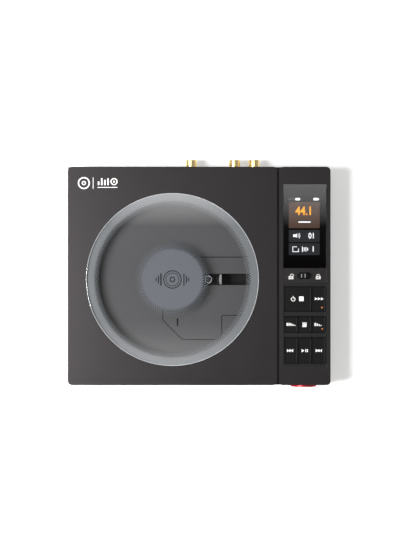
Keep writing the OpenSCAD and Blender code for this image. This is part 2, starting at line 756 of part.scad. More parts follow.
// Straight rack on the pickup's front side; a tooth gap is centred on the small wheel at home.
module pickup_rack() color("#e4e2da") translate([sx + lens_home, sy, 0]) {
    pitch = PI * rack_module;
    gap_x = gear_x - lens_home;
    tip = rack_root_y - 2.25 * rack_module;
    slope = tan(pressure_angle) * rack_module;
    tooth_half = pitch / 4 - tooth_play / 2;
    count = floor((gap_x - rack_x0) / pitch);
    last = floor((rack_x1 - gap_x) / pitch);
    translate([0, 0, frame_top + 1.2]) linear_extrude(2.6) {
        translate([rack_x0, rack_root_y]) square([rack_x1 - rack_x0, -pickup_w / 2 - rack_root_y]);
        for (i = [-count:last - 1]) translate([gap_x + (i + 0.5) * pitch, 0])
            polygon([[-tooth_half - 1.25 * slope, rack_root_y + eps], [-tooth_half + slope, tip],
                [tooth_half - slope, tip], [tooth_half + 1.25 * slope, rack_root_y + eps]]);
    }
}

module lens_holder() color("#1c1c1e") translate([sx + lens_home, sy, 0]) difference() {
    union() {
        block([-4.9, -4.9, frame_top + 1.6], [4.9, 4.9, pickup_z1]);
        post([0, 0], pickup_z1 - eps, lens_barrel_r, well_floor_z + 0.5 - pickup_z1);
    }
    post([0, 0], frame_top, 2.1, 10);
    post(focus_post, frame_top, focus_post_r + 0.03, 10);
}

module objective_lens() color("#7f8fb4") translate([sx + lens_home, sy, well_floor_z - 0.6]) {
    cylinder(r = 2.08, h = 0.6);
    translate([0, 0, 0.6 - eps]) intersection() {
        cylinder(r = 1.8, h = 1);
        translate([0, 0, -2.7]) sphere(r = 3.3);
    }
}

module drive_gear() color("#e4e2da") translate([sx + gear_x, sy + gear_y, 0]) {
    translate([0, 0, wheel_z]) rotate(wheel_angle) linear_extrude(wheel_t)
        wheel_outline(large_wheel_teeth, wheel_module);
    post([0, 0], wheel_z + wheel_t - eps, gear_core_r, frame_top + running_gap - wheel_z - wheel_t + 2 * eps);
    translate([0, 0, frame_top + running_gap]) rotate(90) linear_extrude(3.8)
        wheel_outline(rack_pinion_teeth, rack_module);
}

module motor_pinion() color("#c9a94e") translate([sx + sled_motor_x, sy + sled_motor_y, 0]) {
    translate([0, 0, wheel_z]) rotate(wheel_angle - 180 + 180 / motor_pinion_teeth) linear_extrude(wheel_t)
        wheel_outline(motor_pinion_teeth, wheel_module);
    post([0, 0], wheel_z + wheel_t - eps, 0.75, frame_top + 1.5 - wheel_z - wheel_t);
}

module sled_motor() color("#8d9092") translate([sx + sled_motor_x, sy + sled_motor_y, 0]) difference() {
    post([0, 0], frame_top, 5.5, 4.2);
    post([0, 0], frame_top - 1, 0.85, 3);
}

// ---------- lid ----------

module lid_frame() color("#2e2d2f") difference() {
    skirt_z = rim_z + lid_seat_gap;
    union() {
        plate(x0, y0, lid_under_z, lid_w, case_d, lid_plate_t, corner_r);
        difference() {
            plate(x0, y0, skirt_z, lid_w, case_d, cover_h - lid_seat_gap - 1, corner_r);
            block([x0 + lid_skirt_t, y0 + lid_skirt_t, skirt_z - 1],
                [lid_x1 - lid_skirt_t, y1 + 1, lid_under_z]);
            block([x0 - 1, skirt_y1, skirt_z - 1], [lid_x1 + 1, y1 + 1, lid_under_z]);
        }
    }
    post([sx, sy], lid_under_z - 1, window_d / 2 - window_ledge, lid_plate_t + 2);
    post([sx, sy], top_z - glass_t - gasket_t, window_d / 2, lid_plate_t);
    for (x = arm_xs, y = arm_screw_ys) post([x, y], lid_under_z - eps, screw_r + screw_clear, 1.4);
}

module glass_gasket() color("#111112") translate([sx, sy, top_z - glass_t - gasket_t]) difference() {
    cylinder(r = window_d / 2 - glass_clear, h = gasket_t);
    translate([0, 0, -1]) cylinder(r = window_d / 2 - window_ledge + 0.2, h = gasket_t + 2);
}

module lid_glass() color("#9aa4a8", 0.4) post([sx, sy], top_z - glass_t, window_d / 2 - glass_clear, glass_t);

// Arm of the hinge: an eye on the pin, a web up to the lid and a flange under its plate.
module hinge_arms() color("silver") for (x = arm_xs) difference() {
    union() {
        translate([x - hinge_arm_w / 2, 0, 0]) rotate([90, 0, 90]) linear_extrude(hinge_arm_w) {
            translate([hinge_y, hinge_z]) circle(arm_eye_r);
            translate([hinge_y - arm_eye_r, hinge_z]) square([1.6 * arm_eye_r, lid_under_z - hinge_z]);
        }
        block([x - 6, hinge_y - flange_l, lid_under_z - flange_t],
            [x + 6, hinge_y - fairing_r - 0.5, lid_under_z]);
        block([x - hinge_arm_w / 2, hinge_y - fairing_r - 1, lid_under_z - flange_t],
            [x + hinge_arm_w / 2, hinge_y, lid_under_z]);
    }
    along_x([x - hinge_arm_w, hinge_y, hinge_z], pin_r + pin_clear, 2 * hinge_arm_w);
    for (y = arm_screw_ys) post([x, y], lid_under_z - flange_t - 1, screw_r + 0.1, flange_t + 2);
}

module hinge_arm_screws() for (x = arm_xs, y = arm_screw_ys)
    screw_up([x, y], lid_under_z - flange_t - head_h, head_h + flange_t + 1.2);

module lid_magnets() color("silver") for (p = magnets) post(p, lid_under_z - 2, magnet_r, 2);

module latch_magnets() color("silver") for (p = magnets) post(p, rim_z - magnet_h, magnet_r, magnet_h);

module lid_bumpers() color("#19191a") for (p = bumpers) post(p, rim_z, 1.8, lid_under_z - rim_z - 0.2);

module lid_switch_body() color("#202022") difference() {
    block([lid_switch.x - 3.5, lid_switch.y - 3.5, rim_z - deck_t - 4],
        [lid_switch.x + 3.5, lid_switch.y + 3.5, rim_z - deck_t]);
    post(lid_switch, rim_z - deck_t - 3.4, plunger_r + 0.1, 5);
}

// Held down by the closed lid; it rises by its travel when the lid opens.
module lid_switch_plunger() color("#c4c2bc")
    post(lid_switch, rim_z - deck_t - 3.2, plunger_r, lid_under_z - 0.15 - rim_z + deck_t + 3.2);

chassis();
bottom_cover();
case_screws();
rubber_feet();
disc_deck();
mechanism_cover();
hinge_fairing();
hinge_pins();
main_board();
battery_pack();
headphone_board();
coaxial_socket();
line_out_sockets();
socket_insulators();
usb_socket();
small_headphone_socket();
large_headphone_socket();
control_cover();
button_bezel();
display_glass();
display_module();
control_board();
tact_switches();
hold_switch_body();
volume_encoder();
traverse_frame();
traverse_dampers();
traverse_screws();
spindle_motor();
guide_rods();
sled_motor();
latch_magnets();
lid_bumpers();
lid_switch_body();
lid_frame();
lid_glass();
glass_gasket();
hinge_arms();
hinge_arm_screws();
lid_magnets();
turntable();
turntable_mat();
spindle_shaft();
pickup_body();
pickup_rack();
lens_holder();
objective_lens();
drive_gear();
motor_pinion();
power_button();
boost_button();
filter_button();
menu_button();
bass_button();
previous_button();
play_button();
next_button();
hold_slider();
volume_knob();
lid_switch_plunger();
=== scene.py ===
import math

import bpy
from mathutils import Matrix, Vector


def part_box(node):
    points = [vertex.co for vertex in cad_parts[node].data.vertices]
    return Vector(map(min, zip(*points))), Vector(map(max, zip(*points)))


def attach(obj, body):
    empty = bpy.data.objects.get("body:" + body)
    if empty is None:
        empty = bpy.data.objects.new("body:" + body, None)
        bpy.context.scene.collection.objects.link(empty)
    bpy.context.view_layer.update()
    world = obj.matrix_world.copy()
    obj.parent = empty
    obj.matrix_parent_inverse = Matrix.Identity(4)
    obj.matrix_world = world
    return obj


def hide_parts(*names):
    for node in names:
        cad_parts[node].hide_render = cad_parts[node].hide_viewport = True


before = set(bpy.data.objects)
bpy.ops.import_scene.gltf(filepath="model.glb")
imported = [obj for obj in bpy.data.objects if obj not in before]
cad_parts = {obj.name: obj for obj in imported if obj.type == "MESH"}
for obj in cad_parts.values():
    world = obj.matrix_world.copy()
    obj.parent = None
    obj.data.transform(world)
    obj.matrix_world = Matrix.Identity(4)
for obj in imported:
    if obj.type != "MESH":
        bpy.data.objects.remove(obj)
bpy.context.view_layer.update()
scene = bpy.context.scene
mm = 0.001  # everything below is written in millimetres and turned to metres with this

# Places that every piece is worked out from.
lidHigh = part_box("lid_frame")[1]
stripLow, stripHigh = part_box("control_cover")
glassLow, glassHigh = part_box("lid_glass")
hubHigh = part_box("turntable")[1]
topZ = lidHigh.z
discX = (glassLow.x + glassHigh.x) / 2
discY = (glassLow.y + glassHigh.y) / 2

# How edges are welded, rounded and shaded, in millimetres and degrees.
edgeFinish = {
    "weld": 0.002,
    "sliverAngle": 0.5,  # faces that differ by less are made one
    "bevelAngle": 40,
    "smoothAngle": 40,
    "flatWeight": 100,  # how strongly a large flat keeps its own direction
}


def linear(hexColour):
    channels = [int(hexColour[i:i + 2], 16) / 255 for i in (1, 3, 5)]
    return [c / 12.92 if c <= 0.04045 else ((c + 0.055) / 1.055) ** 2.4 for c in channels] + [1]


def addNode(tree, kind, settings=None, links=None):
    made = tree.nodes.new(kind)
    for name, value in (settings or {}).items():
        if name in made.inputs:
            made.inputs[name].default_value = value
        else:
            setattr(made, name, value)
    for name, source in (links or {}).items():
        tree.links.new(source, made.inputs[name])
    return made


def newMaterial(name):
    made = bpy.data.materials.new(name)
    made.use_nodes = True
    made.node_tree.nodes.clear()
    return made, made.node_tree


def showShader(tree, shader):
    addNode(tree, "ShaderNodeOutputMaterial", links={"Surface": shader})


def deselectAll():
    if bpy.context.mode != "OBJECT":
        bpy.ops.object.mode_set(mode="OBJECT")
    bpy.ops.object.select_all(action="DESELECT")


def activate(piece):
    deselectAll()
    piece.select_set(True)
    bpy.context.view_layer.objects.active = piece


def applyPlace(piece):
    activate(piece)
    bpy.ops.object.transform_apply(location=True, rotation=True, scale=True)


def addBox(low, high):  # block from two corners, in metres
    deselectAll()
    low, high = Vector(low), Vector(high)
    bpy.ops.mesh.primitive_cube_add(size=1, location=(low + high) / 2)
    piece = bpy.context.active_object
    piece.scale = high - low
    applyPlace(piece)
    return piece


def turnedOrigin(x, y, turn):  # where the origin lands when everything turns about an upright axis
    return (x - x * math.cos(turn) + y * math.sin(turn), y - x * math.sin(turn) - y * math.cos(turn), 0)


def turnAbout(piece, x, y, turn):  # turns a finished mesh about an upright axis
    piece.rotation_euler = (0, 0, turn)
    piece.location = turnedOrigin(x, y, turn)
    applyPlace(piece)


def addRound(x, y, z, radius, height, sides=96):  # upright cylinder standing on z
    deselectAll()
    bpy.ops.mesh.primitive_cylinder_add(vertices=sides, radius=radius, depth=height,
                                        location=(x, y, z + height / 2))
    piece = bpy.context.active_object
    applyPlace(piece)
    return piece


def addLevelRound(centre, radius, length, sides):  # cylinder lying along Y
    deselectAll()
    bpy.ops.mesh.primitive_cylinder_add(vertices=sides, radius=radius, depth=length, location=centre,
                                        rotation=(math.pi / 2, 0, 0))
    piece = bpy.context.active_object
    applyPlace(piece)
    return piece


def pickParts(piece, kind, mode, test):  # leaves the piece in edit mode, with what passes the test picked
    activate(piece)
    for group in (piece.data.vertices, piece.data.edges, piece.data.polygons):
        group.foreach_set("select", [False] * len(group))
    for part in getattr(piece.data, kind):
        part.select = bool(test(part))
    bpy.ops.object.mode_set(mode="EDIT")
    bpy.ops.mesh.select_mode(type=mode)


def pickFaces(piece, test):  # test gets a face's centre and normal
    pickParts(piece, "polygons", "FACE", lambda face: test(face.center, face.normal))


def pickEdges(piece, test):  # test gets an edge's two ends
    pickParts(piece, "edges", "EDGE",
              lambda edge: test(*(piece.data.vertices[i].co for i in edge.vertices)))


def isUpright(a, b):
    return abs(a.z - b.z) > 0.5 * (a - b).length


def roundCorners(piece, radius, segments=6):  # the upright edges only
    pickEdges(piece, isUpright)
    bpy.ops.mesh.bevel(offset=radius, segments=segments, affect="EDGES")
    bpy.ops.object.mode_set(mode="OBJECT")


def addModifier(piece, kind, settings):
    made = piece.modifiers.new(kind.lower(), kind)
    for name, value in settings.items():
        setattr(made, name, value)
    return made


def applyModifiers(piece):
    activate(piece)
    for made in list(piece.modifiers):
        bpy.ops.object.modifier_apply(modifier=made.name)


def softenEdges(piece, width, segments=2, angle=35, smooth=True):
    addModifier(piece, "BEVEL", {"width": width, "segments": segments, "limit_method": "ANGLE",
                                 "angle_limit": math.radians(angle)})
    applyModifiers(piece)
    if not smooth:
        return
    bpy.ops.object.shade_smooth_by_angle(angle=math.radians(edgeFinish["smoothAngle"]))
    addModifier(piece, "WEIGHTED_NORMAL", {"mode": "FACE_AREA", "weight": edgeFinish["flatWeight"],
                                           "keep_sharp": True})
    applyModifiers(piece)


def combine(piece, other, operation, useSelf=False):  # the other piece is used up
    addModifier(piece, "BOOLEAN", {"operation": operation, "object": other, "solver": "EXACT",
                                   "use_self": useSelf})
    applyModifiers(piece)
    bpy.data.objects.remove(other, do_unlink=True)


def cutAway(piece, cutter):
    combine(piece, cutter, "DIFFERENCE")


def joinPieces(pieces):
    deselectAll()
    for piece in pieces:
        piece.select_set(True)
    bpy.context.view_layer.objects.active = pieces[0]
    if len(pieces) > 1:
        bpy.ops.object.join()
    return bpy.context.active_object


def finishPiece(piece, name, body, look, replaced=()):
    piece.name = piece.data.name = name
    piece.data.materials.clear()
    piece.data.materials.append(look)
    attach(piece, body)
    if replaced:
        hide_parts(*replaced)
    return piece


# What the finishes share. Sizes are in millimetres.
textures = {
    "driftSize": 9,  # slow change in the gloss of a grained surface
    "grainStrength": 0.6,
    "streakSize": 0.3,
    "streakDepth": 0.01,
    "streakStrength": 0.25,
    "streakSpread": (-0.07, 0.09),  # added to the roughness
    "mirrorReach": 0.52,  # from here on the two faces of a pane mirror everything together
    "mattRoughness": 0.5,  # of inks and lit films
    "speckleSize": 0.7,
    "inkSpread": 0.05,
    "inkGloss": 0.12,
    "cellSize": 0.25,  # cells of the lit panel
    "cellReach": 0.7,
    "cellSpread": (1.1, 0.8),  # brightness in the middle and at the edge of a cell
    "filmGloss": 0.1,
    "smearSize": 12,
    "smearSpread": (0.8, 1.25),  # times the roughness
}


def objectPlace(tree):
    return addNode(tree, "ShaderNodeTexCoord").outputs["Object"]


def addNoise(tree, place, size, detail):  # runs from 0 to 1, with features of one size
    return addNode(tree, "ShaderNodeTexNoise", {"Scale": 1 / (size * mm), "Detail": detail},
                   {"Vector": place}).outputs["Fac"]


def addRange(tree, value, low, high):  # stretches a value that runs from 0 to 1
    return addNode(tree, "ShaderNodeMapRange", {"To Min": low, "To Max": high},
                   {"Value": value}).outputs["Result"]


def addBump(tree, height, strength, depth):
    return addNode(tree, "ShaderNodeBump", {"Strength": strength, "Distance": depth * mm},
                   {"Height": height}).outputs["Normal"]


def addSurface(tree, settings, links):
    showShader(tree, addNode(tree, "ShaderNodeBsdfPrincipled", settings, links).outputs["BSDF"])


def grainedSurface(name, colour, roughness, grainMm, depthMm, metallic=0.0, gloss=0.5, spread=0.04):
    # Fine grain in the height and a slow drift in the gloss.
    made, tree = newMaterial(name)
    place = objectPlace(tree)
    grain = addNoise(tree, place, grainMm, 3.0)
    drift = addNoise(tree, place, textures["driftSize"], 2.0)
    rough = addRange(tree, drift, roughness - spread, roughness + spread)
    normal = addBump(tree, grain, textures["grainStrength"], depthMm)
    addSurface(tree, {"Base Color": linear(colour), "Metallic": metallic, "Specular IOR Level": gloss},
               {"Roughness": rough, "Normal": normal})
    return made


def brushedMetal(name, colour, roughness, stretch):
    # Rolled or turned metal: streaks drawn out along one axis.
    made, tree = newMaterial(name)
    streaks = addNode(tree, "ShaderNodeMapping", {"Scale": stretch}, {"Vector": objectPlace(tree)})
    lines = addNoise(tree, streaks.outputs["Vector"], textures["streakSize"], 4.0)
    below, above = textures["streakSpread"]
    rough = addRange(tree, lines, roughness + below, roughness + above)
    normal = addBump(tree, lines, textures["streakStrength"], textures["streakDepth"])
    addSurface(tree, {"Base Color": linear(colour), "Metallic": 1.0},
               {"Roughness": rough, "Normal": normal})
    return made


def clearPane(name, tint, ior):
    # Thin flat glass: what is behind shows straight through, and the front mirrors for both faces.
    made, tree = newMaterial(name)
    through = addNode(tree, "ShaderNodeBsdfTransparent", {"Color": linear(tint)})
    mirror = addNode(tree, "ShaderNodeBsdfGlossy", {"Roughness": 0.0, "Color": (1, 1, 1, 1)})
    oneFace = addNode(tree, "ShaderNodeFresnel", {"IOR": ior})
    inside = addNode(tree, "ShaderNodeNewGeometry").outputs["Backfacing"]
    bothFaces = addNode(tree, "ShaderNodeMapRange", {"From Max": textures["mirrorReach"], "To Max": 1.0},
                        {"Value": oneFace.outputs["Fac"]})
    share = addNode(tree, "ShaderNodeMapRange", {"From Min": 1.0, "From Max": 0.0, "To Min": 0.0},
                    {"Value": inside, "To Max": bothFaces.outputs["Result"]})
    both = addNode(tree, "ShaderNodeMixShader", links={"Fac": share.outputs["Result"]})
    tree.links.new(through.outputs["BSDF"], both.inputs[1])
    tree.links.new(mirror.outputs["BSDF"], both.inputs[2])
    showShader(tree, both.outputs["Shader"])
    return made


def printedInk(name, colour, cover):
    # A screen-printed coat: slightly uneven, and thin enough to let some of what is below through.
    made, tree = newMaterial(name)
    speckle = addNoise(tree, objectPlace(tree), textures["speckleSize"], 2.0)
    coat = addRange(tree, speckle, cover - textures["inkSpread"], min(1.0, cover + textures["inkSpread"]))
    addSurface(tree, {"Base Color": linear(colour), "Roughness": textures["mattRoughness"],
                      "Specular IOR Level": textures["inkGloss"]}, {"Alpha": coat})
    return made


def litFilm(name, colour, strength):  # lit parts of the display, and the two lamps
    made, tree = newMaterial(name)
    cells = addNode(tree, "ShaderNodeTexVoronoi", {"Scale": 1 / (textures["cellSize"] * mm)},
                    {"Vector": objectPlace(tree)})
    middle, edge = textures["cellSpread"]
    glow = addNode(tree, "ShaderNodeMapRange", {"From Max": textures["cellReach"],
                                                "To Min": strength * middle, "To Max": strength * edge},
                   {"Value": cells.outputs["Distance"]})
    addSurface(tree, {"Base Color": linear(colour), "Roughness": textures["mattRoughness"],
                      "Specular IOR Level": textures["filmGloss"], "Emission Color": linear(colour)},
               {"Emission Strength": glow.outputs["Result"]})
    return made


def smoothFinish(name, colour, roughness, metallic=0.0, coat=0.0, gloss=0.5):
    # Polished or plated: even, with faint handling smears in its gloss.
    made, tree = newMaterial(name)
    smear = addNoise(tree, objectPlace(tree), textures["smearSize"], 3.0)
    low, high = textures["smearSpread"]
    rough = addRange(tree, smear, roughness * low, roughness * high)
    addSurface(tree, {"Base Color": linear(colour), "Metallic": metallic, "Coat Weight": coat,
                      "Specular IOR Level": gloss}, {"Roughness": rough})
    return made


# Aluminium, bead-blasted and anodised black: an even satin with no streaks. The grit is drawn
# at 0.5 mm, coarser than the real 0.1 mm, so that it shows.
blastedAluminium = grainedSurface("blasted_black_aluminium", "#302e2f", 0.38, 0.5, 0.006, metallic=1.0)
deckAbs = grainedSurface("textured_grey_abs", "#49494b", 0.55, 0.6, 0.003, gloss=0.35)
keyAbs = grainedSurface("soft_touch_key_abs", "#0d0d0e", 0.5, 0.45, 0.003, gloss=0.09)
blackAbs = grainedSurface("moulded_black_abs", "#141415", 0.5, 0.7, 0.004, gloss=0.16)
rubberBlack = grainedSurface("moulded_black_rubber", "#080808", 0.8, 0.4, 0.006, gloss=0.08)
greyAbs = grainedSurface("moulded_grey_abs", "#8f8e8b", 0.45, 0.7, 0.006)
acetal = grainedSurface("moulded_acetal", "#d9d5ca", 0.36, 0.9, 0.004)
circuitGreen = grainedSurface("green_solder_mask", "#1c5a3c", 0.33, 1.2, 0.006)
batteryWrap = smoothFinish("shrunk_battery_film", "#35496b", 0.22)
steel = brushedMetal("ground_steel", "#b4b6b9", 0.3, (1, 0.08, 1))
zincPlate = brushedMetal("zinc_plated_steel", "#8e9194", 0.38, (0.1, 1, 1))
darkSteel = brushedMetal("blackened_steel", "#55565a", 0.42, (1, 0.08, 1))
nickel = smoothFinish("nickel_plate", "#c9c9c6", 0.16, metallic=1.0)
gold = smoothFinish("gold_plate", "#e3cc92", 0.2, metallic=1.0)
redAluminium = grainedSurface("turned_red_aluminium", "#a3262c", 0.3, 0.5, 0.004, metallic=1.0)
lensCoat = smoothFinish("coated_lens_glass", "#39415c", 0.06, coat=1.0)
floatGlass = clearPane("float_glass", "#f6f6f6", 1.5)
# A coating halves the glare of the display's glass, and the glass gives its panel all the gloss.
displayGlass = clearPane("coated_cover_glass", "#f0f1f2", 1.33)
panelBlack = smoothFinish("bonded_display_panel", "#050506", 0.3, gloss=0.0)
# Printed coats on glass, metal and plastic: flat, matt and slightly uneven.
ringFrost = printedInk("frosted_ring_print", "#787b7e", 0.95)
hubFrost = printedInk("frosted_centre_print", "#696d73", 0.94)
# the pale ring along the window's edge is painted highlight, standing in for the bright line of the pane's
# edge
rimHighlightInk = printedInk("painted_rim_highlight", "#c4c8ca", 0.95)
whiteInk = printedInk("white_ink", "#f0efec", 0.95)
paleInk = printedInk("pale_ink", "#bdbcba", 0.95)
greyInk = printedInk("grey_ink", "#8b8a88", 0.95)
darkInk = printedInk("dark_ink", "#26292d", 0.95)
amberTile = litFilm("amber_backlit_film", "#4e3a2f", 0.25)
greyTile = litFilm("grey_backlit_film", "#262628", 0.28)
amberSign = litFilm("amber_lit_sign", "#f09c1e", 0.75)
whiteSign = litFilm("white_lit_sign", "#e6e7e8", 0.7)
amberLamp = litFilm("amber_lamp_lens", "#9a5a34", 0.7)
print("materials made:", len(bpy.data.materials))

# Every carried-over CAD node gets its finish, welded seams and a softened edge of this width.
nodeLooks = {
    "chassis": (blastedAluminium, 0.3), "control_cover": (blastedAluminium, 0.3),
    "lid_frame": (blastedAluminium, 0.3), "hinge_fairing": (blastedAluminium, 0.2),
    "bottom_cover": (blackAbs, 0.25), "disc_deck": (deckAbs, 0.15),
    "mechanism_cover": (deckAbs, 0.12), "button_bezel": (blackAbs, 0.2),
    "hold_slider": (keyAbs, 0.15), "display_module": (panelBlack, 0),
    "rubber_feet": (rubberBlack, 0.3), "glass_gasket": (rubberBlack, 0),
    "lid_bumpers": (rubberBlack, 0.3), "turntable_mat": (rubberBlack, 0),
    "traverse_dampers": (rubberBlack, 0.2), "case_screws": (zincPlate, 0.1),
    "hinge_pins": (darkSteel, 0.1), "hinge_arms": (darkSteel, 0.2),
    "hinge_arm_screws": (zincPlate, 0.1), "traverse_frame": (zincPlate, 0.15),
    "traverse_screws": (nickel, 0.1), "guide_rods": (steel, 0.1),
    "spindle_motor": (zincPlate, 0.3), "spindle_shaft": (steel, 0.1),
    "sled_motor": (zincPlate, 0.3), "lid_magnets": (nickel, 0.15),
    "latch_magnets": (nickel, 0.15), "usb_socket": (nickel, 0.05),
    "volume_encoder": (nickel, 0.15), "coaxial_socket": (gold, 0.12),
    "line_out_sockets": (gold, 0.12), "motor_pinion": (gold, 0),
    "socket_insulators": (acetal, 0.12), "small_headphone_socket": (gold, 0.1),
    "large_headphone_socket": (gold, 0.1), "pickup_rack": (acetal, 0),
    "drive_gear": (acetal, 0), "lid_switch_plunger": (acetal, 0.15),
    "main_board": (circuitGreen, 0.1), "headphone_board": (circuitGreen, 0.1),
    "control_board": (circuitGreen, 0.1), "battery_pack": (batteryWrap, 1.2),
    "tact_switches": (blackAbs, 0.1), "hold_switch_body": (nickel, 0.1),
    "lid_switch_body": (blackAbs, 0.2), "turntable": (blackAbs, 0.2),
    "pickup_body": (blackAbs, 0.25), "lens_holder": (blackAbs, 0.15),
    "objective_lens": (lensCoat, 0),
}
for name, (look, edge) in nodeLooks.items():
    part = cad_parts[name]
    for place in part.material_slots:
        place.material = look
    if edge:
        addModifier(part, "WELD", {"merge_threshold": edgeFinish["weld"] * mm})
        if name == "chassis":  # its walls have many openings, and slivers between them would shade wrongly
            addModifier(part, "DECIMATE", {"decimate_type": "DISSOLVE",
                                           "angle_limit": math.radians(edgeFinish["sliverAngle"])})
        addModifier(part, "BEVEL", {"width": edge * mm, "segments": 2, "limit_method": "ANGLE",
                                    "angle_limit": math.radians(edgeFinish["bevelAngle"])})
        addModifier(part, "WEIGHTED_NORMAL", {"mode": "FACE_AREA_WITH_ANGLE",
                                              "weight": edgeFinish["flatWeight"]})
print("CAD nodes dressed:", len(nodeLooks))


# Round glass of the lid: a pane with a pale ring of painted highlight along its edge, and the print baked
# on its underside.
windowPane = {
    "edgeBevel": 0.15,
    "filmThickness": 0.05,
    "filmGap": 0.03,
    "ringInner": 54.95,
    "hubRadius": 21.0,
    "rimWidth": 0.32,
    "rimDrop": 0.5,
    "rimHeight": 0.42,
    # rows of printed dots: radius of the row, radius of a dot, count
    "ringDots": [(54.4, 0.64, 200), (53.1, 0.5, 200), (51.95, 0.33, 200)],
    "hubDots": [(21.55, 0.7, 80), (23.0, 0.6, 80), (24.4, 0.47, 80), (25.6, 0.3, 80)],
}
glassR = (glassHigh.x - glassLow.x) / 2
filmLow = glassLow.z
filmTop = filmLow + windowPane["filmThickness"] * mm
printH = filmTop - filmLow
paneLow = filmTop + windowPane["filmGap"] * mm
pane = addRound(discX, discY, paneLow, glassR, glassHigh.z - paneLow, 160)
softenEdges(pane, windowPane["edgeBevel"] * mm, 3, smooth=False)
finishPiece(pane, "window_pane", "lid", floatGlass, ["lid_glass"])


def addRing(x, y, z, inner, outer, height, sides=160):  # flat washer standing on z
    ring = addRound(x, y, z, outer, height, sides)
    cutAway(ring, addRound(x, y, z - height, inner, height * 3, sides))
    return ring


def dotRow(radius, dotRadius, count, shift):  # one printed dot, repeated round the disc axis
    start = math.pi / count * shift
    dot = addRound(discX + radius * mm * math.cos(start), discY + radius * mm * math.sin(start), filmLow,
                   dotRadius * mm, printH, 10)
    bpy.ops.object.empty_add(location=(0, 0, 0))
    turner = bpy.context.active_object
    turn = 2 * math.pi / count
    # the empty turns about the disc axis, so its origin moves along with the turn
    turner.rotation_euler = (0, 0, turn)
    turner.location = turnedOrigin(discX, discY, turn)
    bpy.context.view_layer.update()
    addModifier(dot, "ARRAY", {"count": count, "use_relative_offset": False, "use_object_offset": True,
                               "offset_object": turner})
    applyModifiers(dot)
    bpy.data.objects.remove(turner, do_unlink=True)
    return dot


frostRing = addRing(discX, discY, filmLow, windowPane["ringInner"] * mm, glassR, printH)
frostPrint = joinPieces([frostRing] + [dotRow(*row, i % 2) for i, row in enumerate(windowPane["ringDots"])])
finishPiece(frostPrint, "window_ring_print", "lid", ringFrost)
hubDisc = addRound(discX, discY, filmLow, windowPane["hubRadius"] * mm, printH, 128)
hubPrint = joinPieces([hubDisc] + [dotRow(*row, i % 2) for i, row in enumerate(windowPane["hubDots"])])
finishPiece(hubPrint, "window_centre_print", "lid", hubFrost)
# painted highlight: a pale ring just inside the pane's edge gives its bright edge line
rim = addRing(discX, discY, glassHigh.z - windowPane["rimDrop"] * mm, glassR - windowPane["rimWidth"] * mm,
              glassR, windowPane["rimHeight"] * mm)
finishPiece(rim, "window_rim_painted_highlight", "lid", rimHighlightInk)
print("window: pane, ring print, centre print and ground rim")

# Mark in the middle of the glass: a disc between two groups of level bars.
windowMark = {
    "lift": 0.004,
    "thickness": 0.02,
    "rings": [(5.75, 6.45), (4.3, 4.75), (1.25, 2.0)],  # inner and outer radius
    "bars": [(8.1, 8.6), (9.75, 5.4), (11.4, 2.6)],  # distance from the axis, length
    "barWidth": 0.75,
}
markZ = filmTop + windowMark["lift"] * mm
windowMarkH = windowMark["thickness"] * mm


def addBar(x, y, z, width, length, height, corner=0.3):  # flat bar with round corners, centred
    bar = addBox((x - width / 2, y - length / 2, z), (x + width / 2, y + length / 2, z + height))
    roundCorners(bar, min(corner * mm, width * 0.48, length * 0.48), 4)
    return bar


markParts = [addRing(discX, discY, markZ, low * mm, high * mm, windowMarkH, 72)
             for low, high in windowMark["rings"]]
for side in (-1, 1):
    for away, length in windowMark["bars"]:
        markParts.append(addBar(discX + side * away * mm, discY, markZ, windowMark["barWidth"] * mm,
                                length * mm, windowMarkH))
finishPiece(joinPieces(markParts), "window_mark", "lid", darkInk)

# Mark in the rear left corner of the lid: a disc, a thin rule and a level meter.
lidMark = {
    "discs": [(-80.7, 63.1, [(3.35, 4.2), (0.8, 1.5)]),  # x, y, inner and outer radius of each ring
              (-59.6, 64.1, [(1.75, 2.45), (0, 0.7)])],
    "rules": [(-74.2, 63.1, 0.4, 8.0), (-64.2, 60.1, 14.0, 0.45)],  # x, y, width, length
    "ruleCorner": 0.15,
    "meter": [(-70.4, 2.6), (-68.2, 5.0), (-66.0, 3.8), (-63.8, 4.8)],  # place along X, length
    "meterBase": 61.6,
    "meterWidth": 1.05,
    "thickness": 0.03,
}
markH = lidMark["thickness"] * mm
lidParts = []
for x, y, rings in lidMark["discs"]:
    for low, high in rings:
        lidParts.append(addRing(x * mm, y * mm, topZ, low * mm, high * mm, markH, 64) if low
                        else addRound(x * mm, y * mm, topZ, high * mm, markH, 32))
for x, y, width, length in lidMark["rules"]:
    lidParts.append(addBar(x * mm, y * mm, topZ, width * mm, length * mm, markH, lidMark["ruleCorner"]))
for x, length in lidMark["meter"]:
    lidParts.append(addBar(x * mm, (lidMark["meterBase"] + length / 2) * mm, topZ,
                           lidMark["meterWidth"] * mm, length * mm, markH))
finishPiece(joinPieces(lidParts), "lid_mark", "lid", whiteInk)
print("marks: window and lid")

